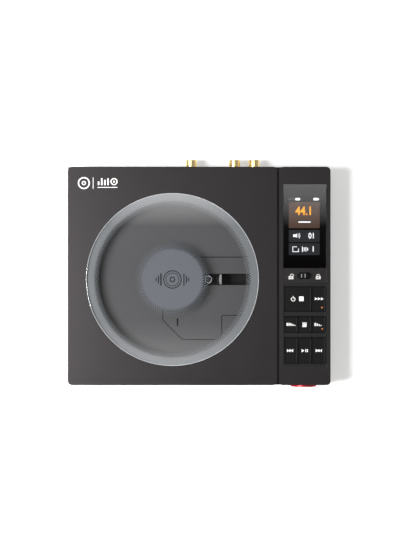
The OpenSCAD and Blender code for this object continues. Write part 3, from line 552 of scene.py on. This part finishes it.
# Display: a pane over a lit panel with plain numbers and symbols.
display = {
    "mask": 0.03,
    "maskInset": 0.12,
    "maskCorner": 0.4,
    "film": 0.04,
    "gap": 0.05,
    "paneCorner": 0.5,
    "edgeBevel": 0.03,
    "tileCorner": 0.7,
    # tiles run from x0, y0 to x1, y1
    "amberTile": (62.8, 31.6, 84.5, 49.9),
    "greyTiles": [(62.8, 21.8, 84.5, 30.3), (62.8, 12.7, 84.5, 21.1)],
}
displayLow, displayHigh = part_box("display_glass")
screenLow = displayLow.z + display["mask"] * mm
filmH = display["film"] * mm
cover = addBox((displayLow.x, displayLow.y, screenLow + 2 * filmH + display["gap"] * mm), displayHigh)
roundCorners(cover, display["paneCorner"] * mm)
softenEdges(cover, display["edgeBevel"] * mm, smooth=False)
finishPiece(cover, "display_pane", "case", displayGlass, ["display_glass"])
maskInset = display["maskInset"] * mm
mask = addBox((displayLow.x + maskInset, displayLow.y + maskInset, displayLow.z),
              (displayHigh.x - maskInset, displayHigh.y - maskInset, screenLow))
roundCorners(mask, display["maskCorner"] * mm)
finishPiece(mask, "display_black_mask", "case", panelBlack)


def addTile(corners, z, height, corner):
    x0, y0, x1, y1 = (v * mm for v in corners)
    return addBar((x0 + x1) / 2, (y0 + y1) / 2, z, x1 - x0, y1 - y0, height, corner)


# The numbers' type: how much its strokes are thickened, for a given size, and the steps in a curve.
numberType = {"thicken": 0.12, "atSize": 6, "curveSteps": 4}


def addNumber(words, x, y, size, squeeze, z, height):  # numbers only, centred on x and y
    deselectAll()
    bpy.ops.object.text_add(location=(0, 0, 0))
    made = bpy.context.active_object
    made.data.body = words
    made.data.size = size * mm
    made.data.extrude = height / 2
    made.data.offset = numberType["thicken"] * mm * size / numberType["atSize"]
    made.data.align_x = "CENTER"
    made.data.align_y = "CENTER"
    made.data.resolution_u = numberType["curveSteps"]
    bpy.ops.object.convert(target="MESH")
    made = bpy.context.active_object
    made.scale = (squeeze, 1, 1)
    made.location = (x * mm, y * mm, z + height / 2)
    applyPlace(made)
    return made


# What the display shows: numbers as (words, x, y, size, squeeze), tiles as (corners, corner radius).
displaySigns = {
    "rate": ("44.1", 73.5, 43.4, 8.2, 0.86),
    "rateRule": ((69.6, 35.4, 78.1, 36.3), 0.2),
    "numbers": [("01", 78.8, 26.1, 5.4, 0.85), ("1", 79.9, 16.8, 5.2, 0.9)],
    "speakerBox": ((65.9, 25.4, 67.0, 27.2), 0.1),
    "speakerCone": (67.6, 26.3, 1.7),  # x, y, size
    "waves": [(67.8, 26.3, 1.7, 84), (67.8, 26.3, 2.8, 84)],  # x, y, radius, sweep
    "waveWidth": 0.35,
    "filterFrame": [((65.4, 14.9, 65.85, 18.7), 0.1), ((65.4, 14.9, 69.9, 15.35), 0.1),
                    ((65.4, 18.25, 68.4, 18.7), 0.1), ((69.4, 14.9, 69.85, 17.3), 0.1)],
    "filterBars": [(72.4, 3.8), (73.6, 2.6), (74.8, 3.2), (76.0, 2.0)],  # x, length
    "filterBarWidth": 0.6,
    "filterBarCorner": 0.15,
    "filterY": 16.8,
    # battery with its knob at the right, a charge pill in the middle
    "pills": [((80.1, 51.0, 83.6, 52.8), 0.3), ((83.7, 51.5, 84.1, 52.3), 0.1),
              ((67.25, 51.0, 70.8, 52.8), 0.8)],
    "faintWave": (65.2, 51.9, 0.9, 120),
    "faintWaveWidth": 0.3,
    "faintTile": ((63.0, 51.5, 64.4, 52.3), 0.2),
}
mainTile = addTile(display["amberTile"], screenLow, filmH, display["tileCorner"])
finishPiece(mainTile, "display_main_tile", "case", amberTile)
greyTiles = joinPieces([addTile(tile, screenLow, filmH, display["tileCorner"])
                        for tile in display["greyTiles"]])
finishPiece(greyTiles, "display_side_tiles", "case", greyTile)
signZ = screenLow + filmH
finishPiece(addNumber(*displaySigns["rate"], signZ, filmH), "display_rate_number", "case", amberSign)


def addTriangle(x, y, z, size, height, turn):  # pointing along +X before it turns, in degrees
    deselectAll()
    bpy.ops.mesh.primitive_cylinder_add(vertices=3, radius=size, depth=height,
                                        location=(x, y, z + height / 2))
    made = bpy.context.active_object
    made.rotation_euler = (0, 0, math.radians(turn - 90))
    applyPlace(made)
    return made


def addArc(x, y, z, radius, width, height, middle, sweep, steps=16):  # angles in degrees
    deselectAll()
    bpy.ops.mesh.primitive_plane_add(size=1, location=(x + radius, y, z + height / 2),
                                     rotation=(math.pi / 2, 0, 0))
    made = bpy.context.active_object
    made.scale = (width, height, 1)
    applyPlace(made)
    bpy.ops.object.mode_set(mode="EDIT")
    bpy.ops.mesh.select_all(action="SELECT")
    bpy.ops.mesh.spin(steps=steps, angle=math.radians(sweep), center=(x, y, z), axis=(0, 0, 1))
    bpy.ops.mesh.select_all(action="SELECT")
    bpy.ops.mesh.normals_make_consistent(inside=False)
    bpy.ops.object.mode_set(mode="OBJECT")
    # turned so that its middle faces the asked way, whichever way the spin went
    centre = sum((v.co for v in made.data.vertices), Vector()) / len(made.data.vertices)
    found = math.atan2(centre.y - y, centre.x - x)
    turnAbout(made, x, y, math.radians(middle) - found)
    return made


def signTile(tile, z):
    return addTile(tile[0], z, filmH, tile[1])


def signWave(wave, width, z):
    x, y, radius, sweep = wave
    return addArc(x * mm, y * mm, z, radius * mm, width * mm, filmH, 0, sweep)


coneX, coneY, coneSize = displaySigns["speakerCone"]
signs = [signTile(displaySigns["rateRule"], signZ)]
signs += [addNumber(*number, signZ, filmH) for number in displaySigns["numbers"]]
signs.append(signTile(displaySigns["speakerBox"], signZ))
signs.append(addTriangle(coneX * mm, coneY * mm, signZ, coneSize * mm, filmH, 180))
signs += [signWave(wave, displaySigns["waveWidth"], signZ) for wave in displaySigns["waves"]]
signs += [signTile(tile, signZ) for tile in displaySigns["filterFrame"]]
for x, length in displaySigns["filterBars"]:
    signs.append(addBar(x * mm, displaySigns["filterY"] * mm, signZ, displaySigns["filterBarWidth"] * mm,
                        length * mm, filmH, displaySigns["filterBarCorner"]))
signs += [signTile(tile, screenLow) for tile in displaySigns["pills"]]
finishPiece(joinPieces(signs), "display_signs", "case", whiteSign)
faintSigns = [signWave(displaySigns["faintWave"], displaySigns["faintWaveWidth"], screenLow),
              signTile(displaySigns["faintTile"], screenLow)]
finishPiece(joinPieces(faintSigns), "display_faint_signs", "case", greyInk)
print("display: pane, tiles and signs")

# Keys: each cap is a dished block with its retaining lips and stem, and a printed symbol.
keyCap = {
    "corner": 0.9,
    "edgeBevel": 0.28,
    "bevelAngle": 12,
    "rimInset": 0.75,
    "dish": 0.16,
    "lipHeight": 0.6,
    "lipWidth": 0.9,
    "lipRise": 0.4,
    "lipCorner": 0.4,
    "stemRadius": 1.5,
    "stemHeight": 1,
    "inkThickness": 0.02,
    "inkSink": 0.002,
}
# The symbols' parts: bar (x, y, width, length, corner), riser (x, base, width, length) for a bar that
# stands on its base, triangle (x, y, size, turn) and arc (x, y, radius, width, middle, sweep).
keySymbols = {
    # power mark and stop square
    "power_button": [("arc", 65.8, -18.1, 1.35, 0.42, -90, 280), ("bar", 65.8, -16.9, 0.42, 1.7),
                     ("bar", 71.55, -17.9, 3.2, 3.2)],
    # three chevron arrows for more drive
    "boost_button": [("triangle", x, -17.9, 1.2, 0) for x in (81.6, 83.7, 85.8)],
    # a falling curve of bars
    "filter_button": [("riser", 61.6, -36.8, 0.75, 2.0), ("riser", 62.95, -36.8, 0.75, 2.0),
                      ("riser", 64.3, -36.8, 0.75, 1.7), ("riser", 65.65, -36.8, 0.75, 1.1),
                      ("riser", 67.0, -36.8, 0.75, 0.6)],
    # four rules in a block
    "menu_button": [("bar", 73.75, y, 3.0, 0.5, 0.1) for y in (-34.85, -35.7, -36.55, -37.4)],
    # bars rising towards the left
    "bass_button": [("riser", 81.2, -36.9, 0.8, 2.1), ("riser", 82.6, -36.9, 0.8, 1.7),
                    ("riser", 84.0, -36.9, 0.8, 1.1), ("riser", 85.4, -36.9, 0.8, 0.6)],
    "previous_button": [("bar", 61.75, -54.2, 0.5, 2.1), ("triangle", 63.3, -54.2, 1.25, 180),
                        ("triangle", 65.2, -54.2, 1.25, 180)],
    # play or pause
    "play_button": [("triangle", 72.4, -54.2, 1.3, 0), ("bar", 74.7, -54.2, 0.55, 2.1),
                    ("bar", 75.8, -54.2, 0.55, 2.1)],
    "next_button": [("triangle", 82.2, -54.2, 1.25, 0), ("triangle", 84.1, -54.2, 1.25, 0),
                    ("bar", 85.65, -54.2, 0.5, 2.1)],
}
inkH = keyCap["inkThickness"] * mm
keyFloor = {}


def makeKey(name):
    low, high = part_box(name)
    lipZ = low.z + keyCap["lipRise"] * mm
    lipWidth = keyCap["lipWidth"] * mm
    cap = addBox((low.x, low.y + lipWidth, lipZ), (high.x, high.y - lipWidth, high.z))
    roundCorners(cap, keyCap["corner"] * mm)
    # the finger face is inset, then pressed down into a shallow dish
    pickFaces(cap, lambda centre, normal: normal.z > 0.9)
    bpy.ops.mesh.inset(thickness=keyCap["rimInset"] * mm, use_even_offset=True)
    bpy.ops.transform.translate(value=(0, 0, -keyCap["dish"] * mm))
    bpy.ops.object.mode_set(mode="OBJECT")
    softenEdges(cap, keyCap["edgeBevel"] * mm, 3, keyCap["bevelAngle"])
    lips = addBox((low.x, low.y, lipZ), (high.x, high.y, lipZ + keyCap["lipHeight"] * mm))
    roundCorners(lips, keyCap["lipCorner"] * mm)
    stem = addRound((low.x + high.x) / 2, (low.y + high.y) / 2, low.z, keyCap["stemRadius"] * mm,
                    keyCap["stemHeight"] * mm, 32)
    combine(cap, lips, "UNION")
    combine(cap, stem, "UNION")
    finishPiece(cap, name.replace("button", "key_cap"), name, keyAbs, [name])
    keyFloor[name] = high.z - keyCap["dish"] * mm


for name in keySymbols:
    makeKey(name)
print("keys:", len(keySymbols))


def addSymbolPart(floorZ, kind, x, y, *measures):
    z = floorZ - keyCap["inkSink"] * mm
    x, y = x * mm, y * mm
    if kind == "arc":
        radius, width, middle, sweep = measures
        return addArc(x, y, z, radius * mm, width * mm, inkH, middle, sweep)
    if kind == "triangle":
        size, turn = measures
        return addTriangle(x, y, z, size * mm, inkH, turn)
    width, length, corner = (*measures, 0.12)[:3]
    if kind == "riser":
        y += length / 2 * mm
    return addBar(x, y, z, width * mm, length * mm, inkH, corner)


for name, parts in keySymbols.items():
    symbol = joinPieces([addSymbolPart(keyFloor[name], *part) for part in parts])
    finishPiece(symbol, name.replace("button", "symbol"), name, whiteInk)

# Two small lamps set in the boost and bass keys.
lampLens = {
    "radius": 0.55,
    "height": 0.12,
    "depth": 0.1,
    "edgeBevel": 0.1,
    "places": [("boost_button", 86.0, -24.0), ("bass_button", 86.15, -38.9)],
}
for name, x, y in lampLens["places"]:
    dome = addRound(x * mm, y * mm, keyFloor[name] - lampLens["depth"] * mm, lampLens["radius"] * mm,
                    lampLens["depth"] * mm + lampLens["height"] * mm, 32)
    softenEdges(dome, lampLens["edgeBevel"] * mm, 3)
    finishPiece(dome, name.replace("button", "lamp"), name, amberLamp)
print("key symbols and lamps")

# Padlocks printed beside the sliding switch: open at the left, shut at the right.
padlock = {
    "places": [(64.3, 0.7), (83.35, 0.0)],  # x, how far the shackle has slipped
    "y": -3.1,
    "body": (3.4, 2.3),
    "bodyCorner": 0.4,
    "hole": (0.7, 1.0),
    "holeCorner": 0.2,
    "shackle": 1.1,
    "line": 0.45,
    "slipRise": 0.35,
    "openSweep": 20,
    "thickness": 0.02,
}
lockY = padlock["y"] * mm
lockH = padlock["thickness"] * mm
bodyW, bodyL = (v * mm for v in padlock["body"])
holeW, holeL = (v * mm for v in padlock["hole"])
lockParts = []
for x, slip in padlock["places"]:
    body = addBar(x * mm, lockY, topZ, bodyW, bodyL, lockH, padlock["bodyCorner"])
    cutAway(body, addBar(x * mm, lockY, topZ - lockH, holeW, holeL, 3 * lockH, padlock["holeCorner"]))
    lockParts.append(body)
    lockParts.append(addArc((x + slip) * mm, lockY + bodyL / 2 + padlock["slipRise"] * slip * mm, topZ,
                            padlock["shackle"] * mm, padlock["line"] * mm, lockH, 90,
                            180 + padlock["openSweep"] * (slip > 0)))
finishPiece(joinPieces(lockParts), "padlock_prints", "case", paleInk)

# Painted shade: a black strip at the bottom of the seam round the mechanism cover stands in for the shade
# in the seam, which makes the seam read dark.
seamShade = {
    "width": 0.46,
    "height": 0.3,
    "drop": 0.8,  # from the well floor down to the ledge
    "side": 0.02,
    "path": [(60, 16), (-7.2, 16), (-7.2, -28.8), (6.7, -42.7), (31.3, -42.7), (35, -39), (35, -25.6),
             (57, -25.6)],  # from the disc axis
    "hubRadius": 16.4,
}
# The cover's small slot gets painted shade too: a black block at its bottom.
slotShade = {"corner": (3, -33), "size": (1, 5.5), "side": 0.03, "drop": (0.42, 0.28)}
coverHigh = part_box("mechanism_cover")[1]
shadeZ = coverHigh.z - seamShade["drop"] * mm
seamShadeParts = []
for (ax, ay), (bx, by) in zip(seamShade["path"], seamShade["path"][1:]):
    length = math.hypot(bx - ax, by - ay) * mm
    strip = addBox((0, seamShade["side"] * mm, shadeZ),
                   (length, seamShade["width"] * mm, shadeZ + seamShade["height"] * mm))
    strip.rotation_euler = (0, 0, math.atan2(by - ay, bx - ax))
    strip.location = (discX + ax * mm, discY + ay * mm, 0)
    applyPlace(strip)
    seamShadeParts.append(strip)
slotX, slotY = discX + slotShade["corner"][0] * mm, discY + slotShade["corner"][1] * mm
slotW, slotL = (v * mm for v in slotShade["size"])
slotSide = slotShade["side"] * mm
seamShadeParts.append(addBox((slotX + slotSide, slotY + slotSide, coverHigh.z - slotShade["drop"][0] * mm),
                   (slotX + slotW - slotSide, slotY + slotL - slotSide,
                    coverHigh.z - slotShade["drop"][1] * mm)))
shadeLimit = addRound(discX, discY, shadeZ - 1 * mm, coverHigh.x - discX, 3 * mm, 128)
seamShadeStrip = joinPieces(seamShadeParts)
combine(seamShadeStrip, shadeLimit, "INTERSECT", useSelf=True)
cutAway(seamShadeStrip, addRound(discX, discY, shadeZ - 1 * mm, seamShade["hubRadius"] * mm, 3 * mm, 96))
finishPiece(seamShadeStrip, "cover_seam_painted_shade", "case", rubberBlack)

# Painted shade: a black strip at the bottom of the gap between the lid and the control strip stands in for
# the shade in the gap.
gapShade = {"side": 0.06, "ends": 1.2, "height": 0.5, "edgeBevel": 0.15}
gapShadeStrip = addBox((lidHigh.x + gapShade["side"] * mm, stripLow.y + gapShade["ends"] * mm, stripLow.z),
                  (stripLow.x - gapShade["side"] * mm, stripHigh.y - gapShade["ends"] * mm,
                   stripLow.z + gapShade["height"] * mm))
softenEdges(gapShadeStrip, gapShade["edgeBevel"] * mm)
finishPiece(gapShadeStrip, "gap_painted_shade", "case", rubberBlack)

# Sliding switch: painted highlight, pale grey bars on the tops of its two grip ridges.
sliderLow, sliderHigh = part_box("hold_slider")
ribHighlights = {"spread": 1.2, "width": 0.5, "length": 2.6, "thickness": 0.02, "corner": 0.1}
ribX = (sliderLow.x + sliderHigh.x) / 2
ribHighlightBars = [addBar(ribX + side * ribHighlights["spread"] * mm, (sliderLow.y + sliderHigh.y) / 2, sliderHigh.z,
               ribHighlights["width"] * mm, ribHighlights["length"] * mm, ribHighlights["thickness"] * mm, ribHighlights["corner"])
        for side in (-1, 1)]
finishPiece(joinPieces(ribHighlightBars), "slider_rib_painted_highlights", "slider", greyInk)
print("padlocks, foam and slider")

# Volume knob: turned red aluminium with a fine straight knurl and a dished face.
volumeKnob = {
    "length": 6,
    "grooves": 60,
    "grooveDepth": 0.22,
    "grooveInset": 0.05,
    "edgeBevel": 0.3,
    "bevelAngle": 50,
    "dishInset": 2.2,
    "dish": 0.8,
    "dishCorner": 0.6,
    "shaftRadius": 3,
    "shaftRoot": 0.5,  # how far the shaft runs into the knob
    "shaftBevel": 0.3,
}
# The white dot on the knob's face.
knobDot = {"radius": 0.7, "thickness": 0.3, "depth": 0.12, "fromEdge": 1.4, "edgeBevel": 0.06}
knobLow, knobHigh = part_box("volume_knob")
knobX, knobZ = (knobLow.x + knobHigh.x) / 2, (knobLow.z + knobHigh.z) / 2
knobR = (knobHigh.x - knobLow.x) / 2
knobLength = volumeKnob["length"] * mm
shaftRoot = volumeKnob["shaftRoot"] * mm
knob = addLevelRound((knobX, knobLow.y + knobLength / 2, knobZ), knobR, knobLength,
                     volumeKnob["grooves"] * 2)


def knurlFlat(centre, normal):  # every second flat of the rim
    turn = math.atan2(normal.z, normal.x) / (2 * math.pi) * volumeKnob["grooves"] * 2
    return abs(normal.y) < 0.5 and round(turn - 0.5) % 2 == 0


pickFaces(knob, knurlFlat)
bpy.ops.mesh.inset(thickness=volumeKnob["grooveInset"] * mm, use_individual=True,
                   depth=-volumeKnob["grooveDepth"] * mm)
bpy.ops.object.mode_set(mode="OBJECT")
pickFaces(knob, lambda centre, normal: normal.y < -0.9)
bpy.ops.mesh.inset(thickness=volumeKnob["dishInset"] * mm)
bpy.ops.mesh.extrude_region_move(TRANSFORM_OT_translate={"value": (0, volumeKnob["dish"] * mm, 0)})
bpy.ops.mesh.inset(thickness=volumeKnob["dishCorner"] * mm)
bpy.ops.object.mode_set(mode="OBJECT")
softenEdges(knob, volumeKnob["edgeBevel"] * mm, 2, volumeKnob["bevelAngle"])
finishPiece(knob, "knurled_knob", "knob", redAluminium)
knobShaft = addLevelRound((knobX, (knobHigh.y + knobLow.y + knobLength - shaftRoot) / 2, knobZ),
                          volumeKnob["shaftRadius"] * mm,
                          knobHigh.y - knobLow.y - knobLength + shaftRoot, 32)
softenEdges(knobShaft, volumeKnob["shaftBevel"] * mm)
finishPiece(knobShaft, "knob_shaft", "knob", steel, ["volume_knob"])
dot = addLevelRound((knobX, knobLow.y + knobDot["depth"] * mm, knobZ + knobR - knobDot["fromEdge"] * mm),
                    knobDot["radius"] * mm, knobDot["thickness"] * mm, 24)
softenEdges(dot, knobDot["edgeBevel"] * mm)
finishPiece(dot, "knob_dot", "knob", whiteInk)
print("knob")

# Hub: three sprung steel balls that grip the disc, and a plated cap in the middle.
hubParts = {
    "balls": 3,
    "ballStart": 60,
    "ballRadius": 1.1,
    "ballOut": 6.75,
    "ballDrop": 1.45,
    "capRadius": 3.1,
    "capHeight": 0.5,
    "capDrop": 0.8,
    "capRim": 1.0,
    "capDish": 0.2,
    "capBevel": 0.08,
}
balls = []
for i in range(hubParts["balls"]):
    turn = math.radians(hubParts["ballStart"] + 360 / hubParts["balls"] * i)
    deselectAll()
    bpy.ops.mesh.primitive_uv_sphere_add(segments=24, ring_count=12, radius=hubParts["ballRadius"] * mm,
                                         location=(discX + hubParts["ballOut"] * mm * math.cos(turn),
                                                   discY + hubParts["ballOut"] * mm * math.sin(turn),
                                                   hubHigh.z - hubParts["ballDrop"] * mm))
    ball = bpy.context.active_object
    applyPlace(ball)
    balls.append(ball)
ballSet = joinPieces(balls)
activate(ballSet)
bpy.ops.object.shade_smooth()
finishPiece(ballSet, "hub_balls", "disc_drive", nickel)
cap = addRound(discX, discY, hubHigh.z - hubParts["capDrop"] * mm, hubParts["capRadius"] * mm,
               hubParts["capHeight"] * mm, 64)
pickFaces(cap, lambda centre, normal: normal.z > 0.9)
bpy.ops.mesh.inset(thickness=hubParts["capRim"] * mm)
bpy.ops.transform.translate(value=(0, 0, -hubParts["capDish"] * mm))
bpy.ops.object.mode_set(mode="OBJECT")
softenEdges(cap, hubParts["capBevel"] * mm)
finishPiece(cap, "hub_cap", "disc_drive", nickel)

# Pickup: a bright notched ring round the lens.
lensCollar = {
    "inner": 1.95,
    "outer": 2.75,
    "height": 0.35,
    "sink": 0.02,
    "notches": 8,
    "notchOut": 2.8,
    "notchRadius": 0.35,
    "notchDrop": 0.5,
    "notchHeight": 1.5,
    "edgeBevel": 0.06,
}
lensLow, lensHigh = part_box("objective_lens")
lensX, lensY = (lensLow.x + lensHigh.x) / 2, (lensLow.y + lensHigh.y) / 2
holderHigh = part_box("lens_holder")[1]
lensRing = addRing(lensX, lensY, holderHigh.z - lensCollar["sink"] * mm, lensCollar["inner"] * mm,
                   lensCollar["outer"] * mm, lensCollar["height"] * mm, 48)
for i in range(lensCollar["notches"]):
    turn = math.radians(360 / lensCollar["notches"] * i)
    cutAway(lensRing, addRound(lensX + lensCollar["notchOut"] * mm * math.cos(turn),
                               lensY + lensCollar["notchOut"] * mm * math.sin(turn),
                               holderHigh.z - lensCollar["notchDrop"] * mm, lensCollar["notchRadius"] * mm,
                               lensCollar["notchHeight"] * mm, 16))
softenEdges(lensRing, lensCollar["edgeBevel"] * mm)
finishPiece(lensRing, "lens_ring", "lens", nickel)

# The clip of the pickup's ribbon cable: a bar, and the tongue that joins it to the pickup.
ribbonClip = {
    "bar": (8.0, 9.5),  # from the lens
    "barWidth": 7.0,
    "barDrop": 2.2,
    "tongueWidth": 4.4,
    "tongueDrop": 1.5,
    "intoPickup": 0.4,
    "intoBar": 0.3,
    "edgeBevel": 0.15,
}
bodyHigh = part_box("pickup_body")[1]
barX0, barX1 = (lensX + v * mm for v in ribbonClip["bar"])
clipLow = bodyHigh.z - ribbonClip["barDrop"] * mm
tongueSide = ribbonClip["tongueWidth"] / 2 * mm
barSide = ribbonClip["barWidth"] / 2 * mm
clip = addBox((bodyHigh.x - ribbonClip["intoPickup"] * mm, lensY - tongueSide, clipLow),
              (barX0 + ribbonClip["intoBar"] * mm, lensY + tongueSide,
               bodyHigh.z - ribbonClip["tongueDrop"] * mm))
combine(clip, addBox((barX0, lensY - barSide, clipLow), (barX1, lensY + barSide, bodyHigh.z)), "UNION")
softenEdges(clip, ribbonClip["edgeBevel"] * mm)
finishPiece(clip, "ribbon_clip", "sled", greyAbs)
print("hub, lens ring and ribbon clip")

# Studio: pale floor, soft boxes and the camera straight above.
studio = {
    "floorRadius": 2.5,
    "floorColour": "#f7f7f6",
    "floorGlow": 0.35,  # lit from below, which thins the shadows
    "cameraHeight": 1.2,  # above the lid
    "cameraShift": (0.6 * mm, 6.6 * mm),  # from the case's centre
    "framedDepth": 373.1 * mm,  # what the long side of the picture takes in at the lid
    "sensor": 36,
    "leastRise": 0.1,  # keeps the room's bands finite near the horizon
    "bandEdge": (0.14, 0.3),  # slant to either side where the bands start to fade, and where they end
    "besideGlow": 0.18,  # brightness beyond them
}
deselectAll()
bpy.ops.mesh.primitive_circle_add(vertices=96, radius=studio["floorRadius"], fill_type="NGON")
floor = bpy.context.active_object
floor.name = "floor"
floor.data.materials.append(grainedSurface("pale_floor", studio["floorColour"], 0.8, 6, 0.01))
floorShader = floor.data.materials[0].node_tree.nodes["Principled BSDF"]
floorShader.inputs["Emission Color"].default_value = linear(studio["floorColour"])
floorShader.inputs["Emission Strength"].default_value = studio["floorGlow"]

# Soft boxes: name, place, size, power, colour. All point at the origin.
lights = [
    ("left", (-0.56, -0.06, 0.86), (0.3, 0.45), 20.0, "#ffffff"),
    ("right", (1.2, 0.2, 0.6), (1.4, 1.6), 2.5, "#ffffff"),
    ("front", (0.1, -1.3, 0.6), (2.4, 1.4), 3.0, "#fff8f2"),
    ("rear", (0.0, 1.3, 0.7), (2.4, 1.4), 3.0, "#ffffff"),
]
for name, place, size, power, colour in lights:
    made = bpy.data.lights.new(name, "AREA")
    made.shape = "RECTANGLE"
    made.size, made.size_y = size
    made.energy = power
    made.color = linear(colour)[:3]
    lamp = bpy.data.objects.new(name, made)
    scene.collection.objects.link(lamp)
    lamp.location = place
    lamp.rotation_euler = (-Vector(place)).to_track_quat("-Z", "Y").to_euler()

# The room: bright overhead towards the rear, dimmer towards the front, and a dark band straight
# above, so that level glass mirrors light at its rear edge and dark in its middle.
roomGlow = [  # how far the direction leans back (-1 front, 1 rear, as run over rise), brightness
    (-1.0, 0.35), (-0.2, 0.14), (-0.1, 1.2), (-0.055, 1.5), (-0.035, 0.12), (0.0, 0.03), (0.024, 0.1),
    (0.036, 2.2), (0.045, 3.3), (0.1, 3.2), (0.2, 0.3), (1.0, 0.4)]
brightest = max(brightness for _, brightness in roomGlow)
world = bpy.data.worlds.new("studio")
scene.world = world
world.use_nodes = True
room = world.node_tree
room.nodes.clear()


def addMath(operation, *values):  # each value is a number or what another node gives
    made = addNode(room, "ShaderNodeMath", {"operation": operation})
    for socket, value in zip(made.inputs, values):
        if isinstance(value, float):
            socket.default_value = value
        else:
            room.links.new(value, socket)
    return made.outputs["Value"]


axes = addNode(room, "ShaderNodeSeparateXYZ", links={
    "Vector": addNode(room, "ShaderNodeTexCoord").outputs["Generated"]})
rise = addMath("MAXIMUM", axes.outputs["Z"], studio["leastRise"])
lean = addMath("DIVIDE", axes.outputs["Y"], rise)
rampPlace = addNode(room, "ShaderNodeMapRange", {"From Min": -1.0, "From Max": 1.0}, {"Value": lean})
ramp = addNode(room, "ShaderNodeValToRGB", links={"Fac": rampPlace.outputs["Result"]})
for i, (place, brightness) in enumerate(roomGlow):
    if i in (0, len(roomGlow) - 1):
        stop = ramp.color_ramp.elements[0 if i == 0 else -1]
        stop.position = (place + 1) / 2
    else:
        stop = ramp.color_ramp.elements.new((place + 1) / 2)
    stop.color = (*[brightness / brightest] * 3, 1)
# the bright bands are narrow: to either side of them the room is evenly dim
slant = addMath("ABSOLUTE", addMath("DIVIDE", axes.outputs["X"], rise))
fadeStart, fadeEnd = studio["bandEdge"]
within = addNode(room, "ShaderNodeMapRange",
                 {"From Min": fadeStart, "From Max": fadeEnd, "To Min": 1.0, "To Max": 0.0},
                 {"Value": slant})
beside = addNode(room, "ShaderNodeMapRange",
                 {"From Min": fadeStart, "From Max": fadeEnd, "To Max": studio["besideGlow"] / brightest},
                 {"Value": slant})
glow = addMath("MULTIPLY_ADD", ramp.outputs["Color"], within.outputs["Result"], beside.outputs["Result"])
sky = addNode(room, "ShaderNodeBackground", {"Strength": brightest}, {"Color": glow})
addNode(room, "ShaderNodeOutputWorld", links={"Surface": sky.outputs["Background"]})
scene.view_settings.view_transform = "Standard"

caseLow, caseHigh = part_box("chassis")
lens = bpy.data.cameras.new("camera")
lens.sensor_width = studio["sensor"]
lens.lens = studio["sensor"] * mm * studio["cameraHeight"] / studio["framedDepth"] / mm
camera = bpy.data.objects.new("camera", lens)
scene.collection.objects.link(camera)
scene.camera = camera
camera.location = ((caseLow.x + caseHigh.x) / 2 + studio["cameraShift"][0],
                   (caseLow.y + caseHigh.y) / 2 + studio["cameraShift"][1],
                   topZ + studio["cameraHeight"])
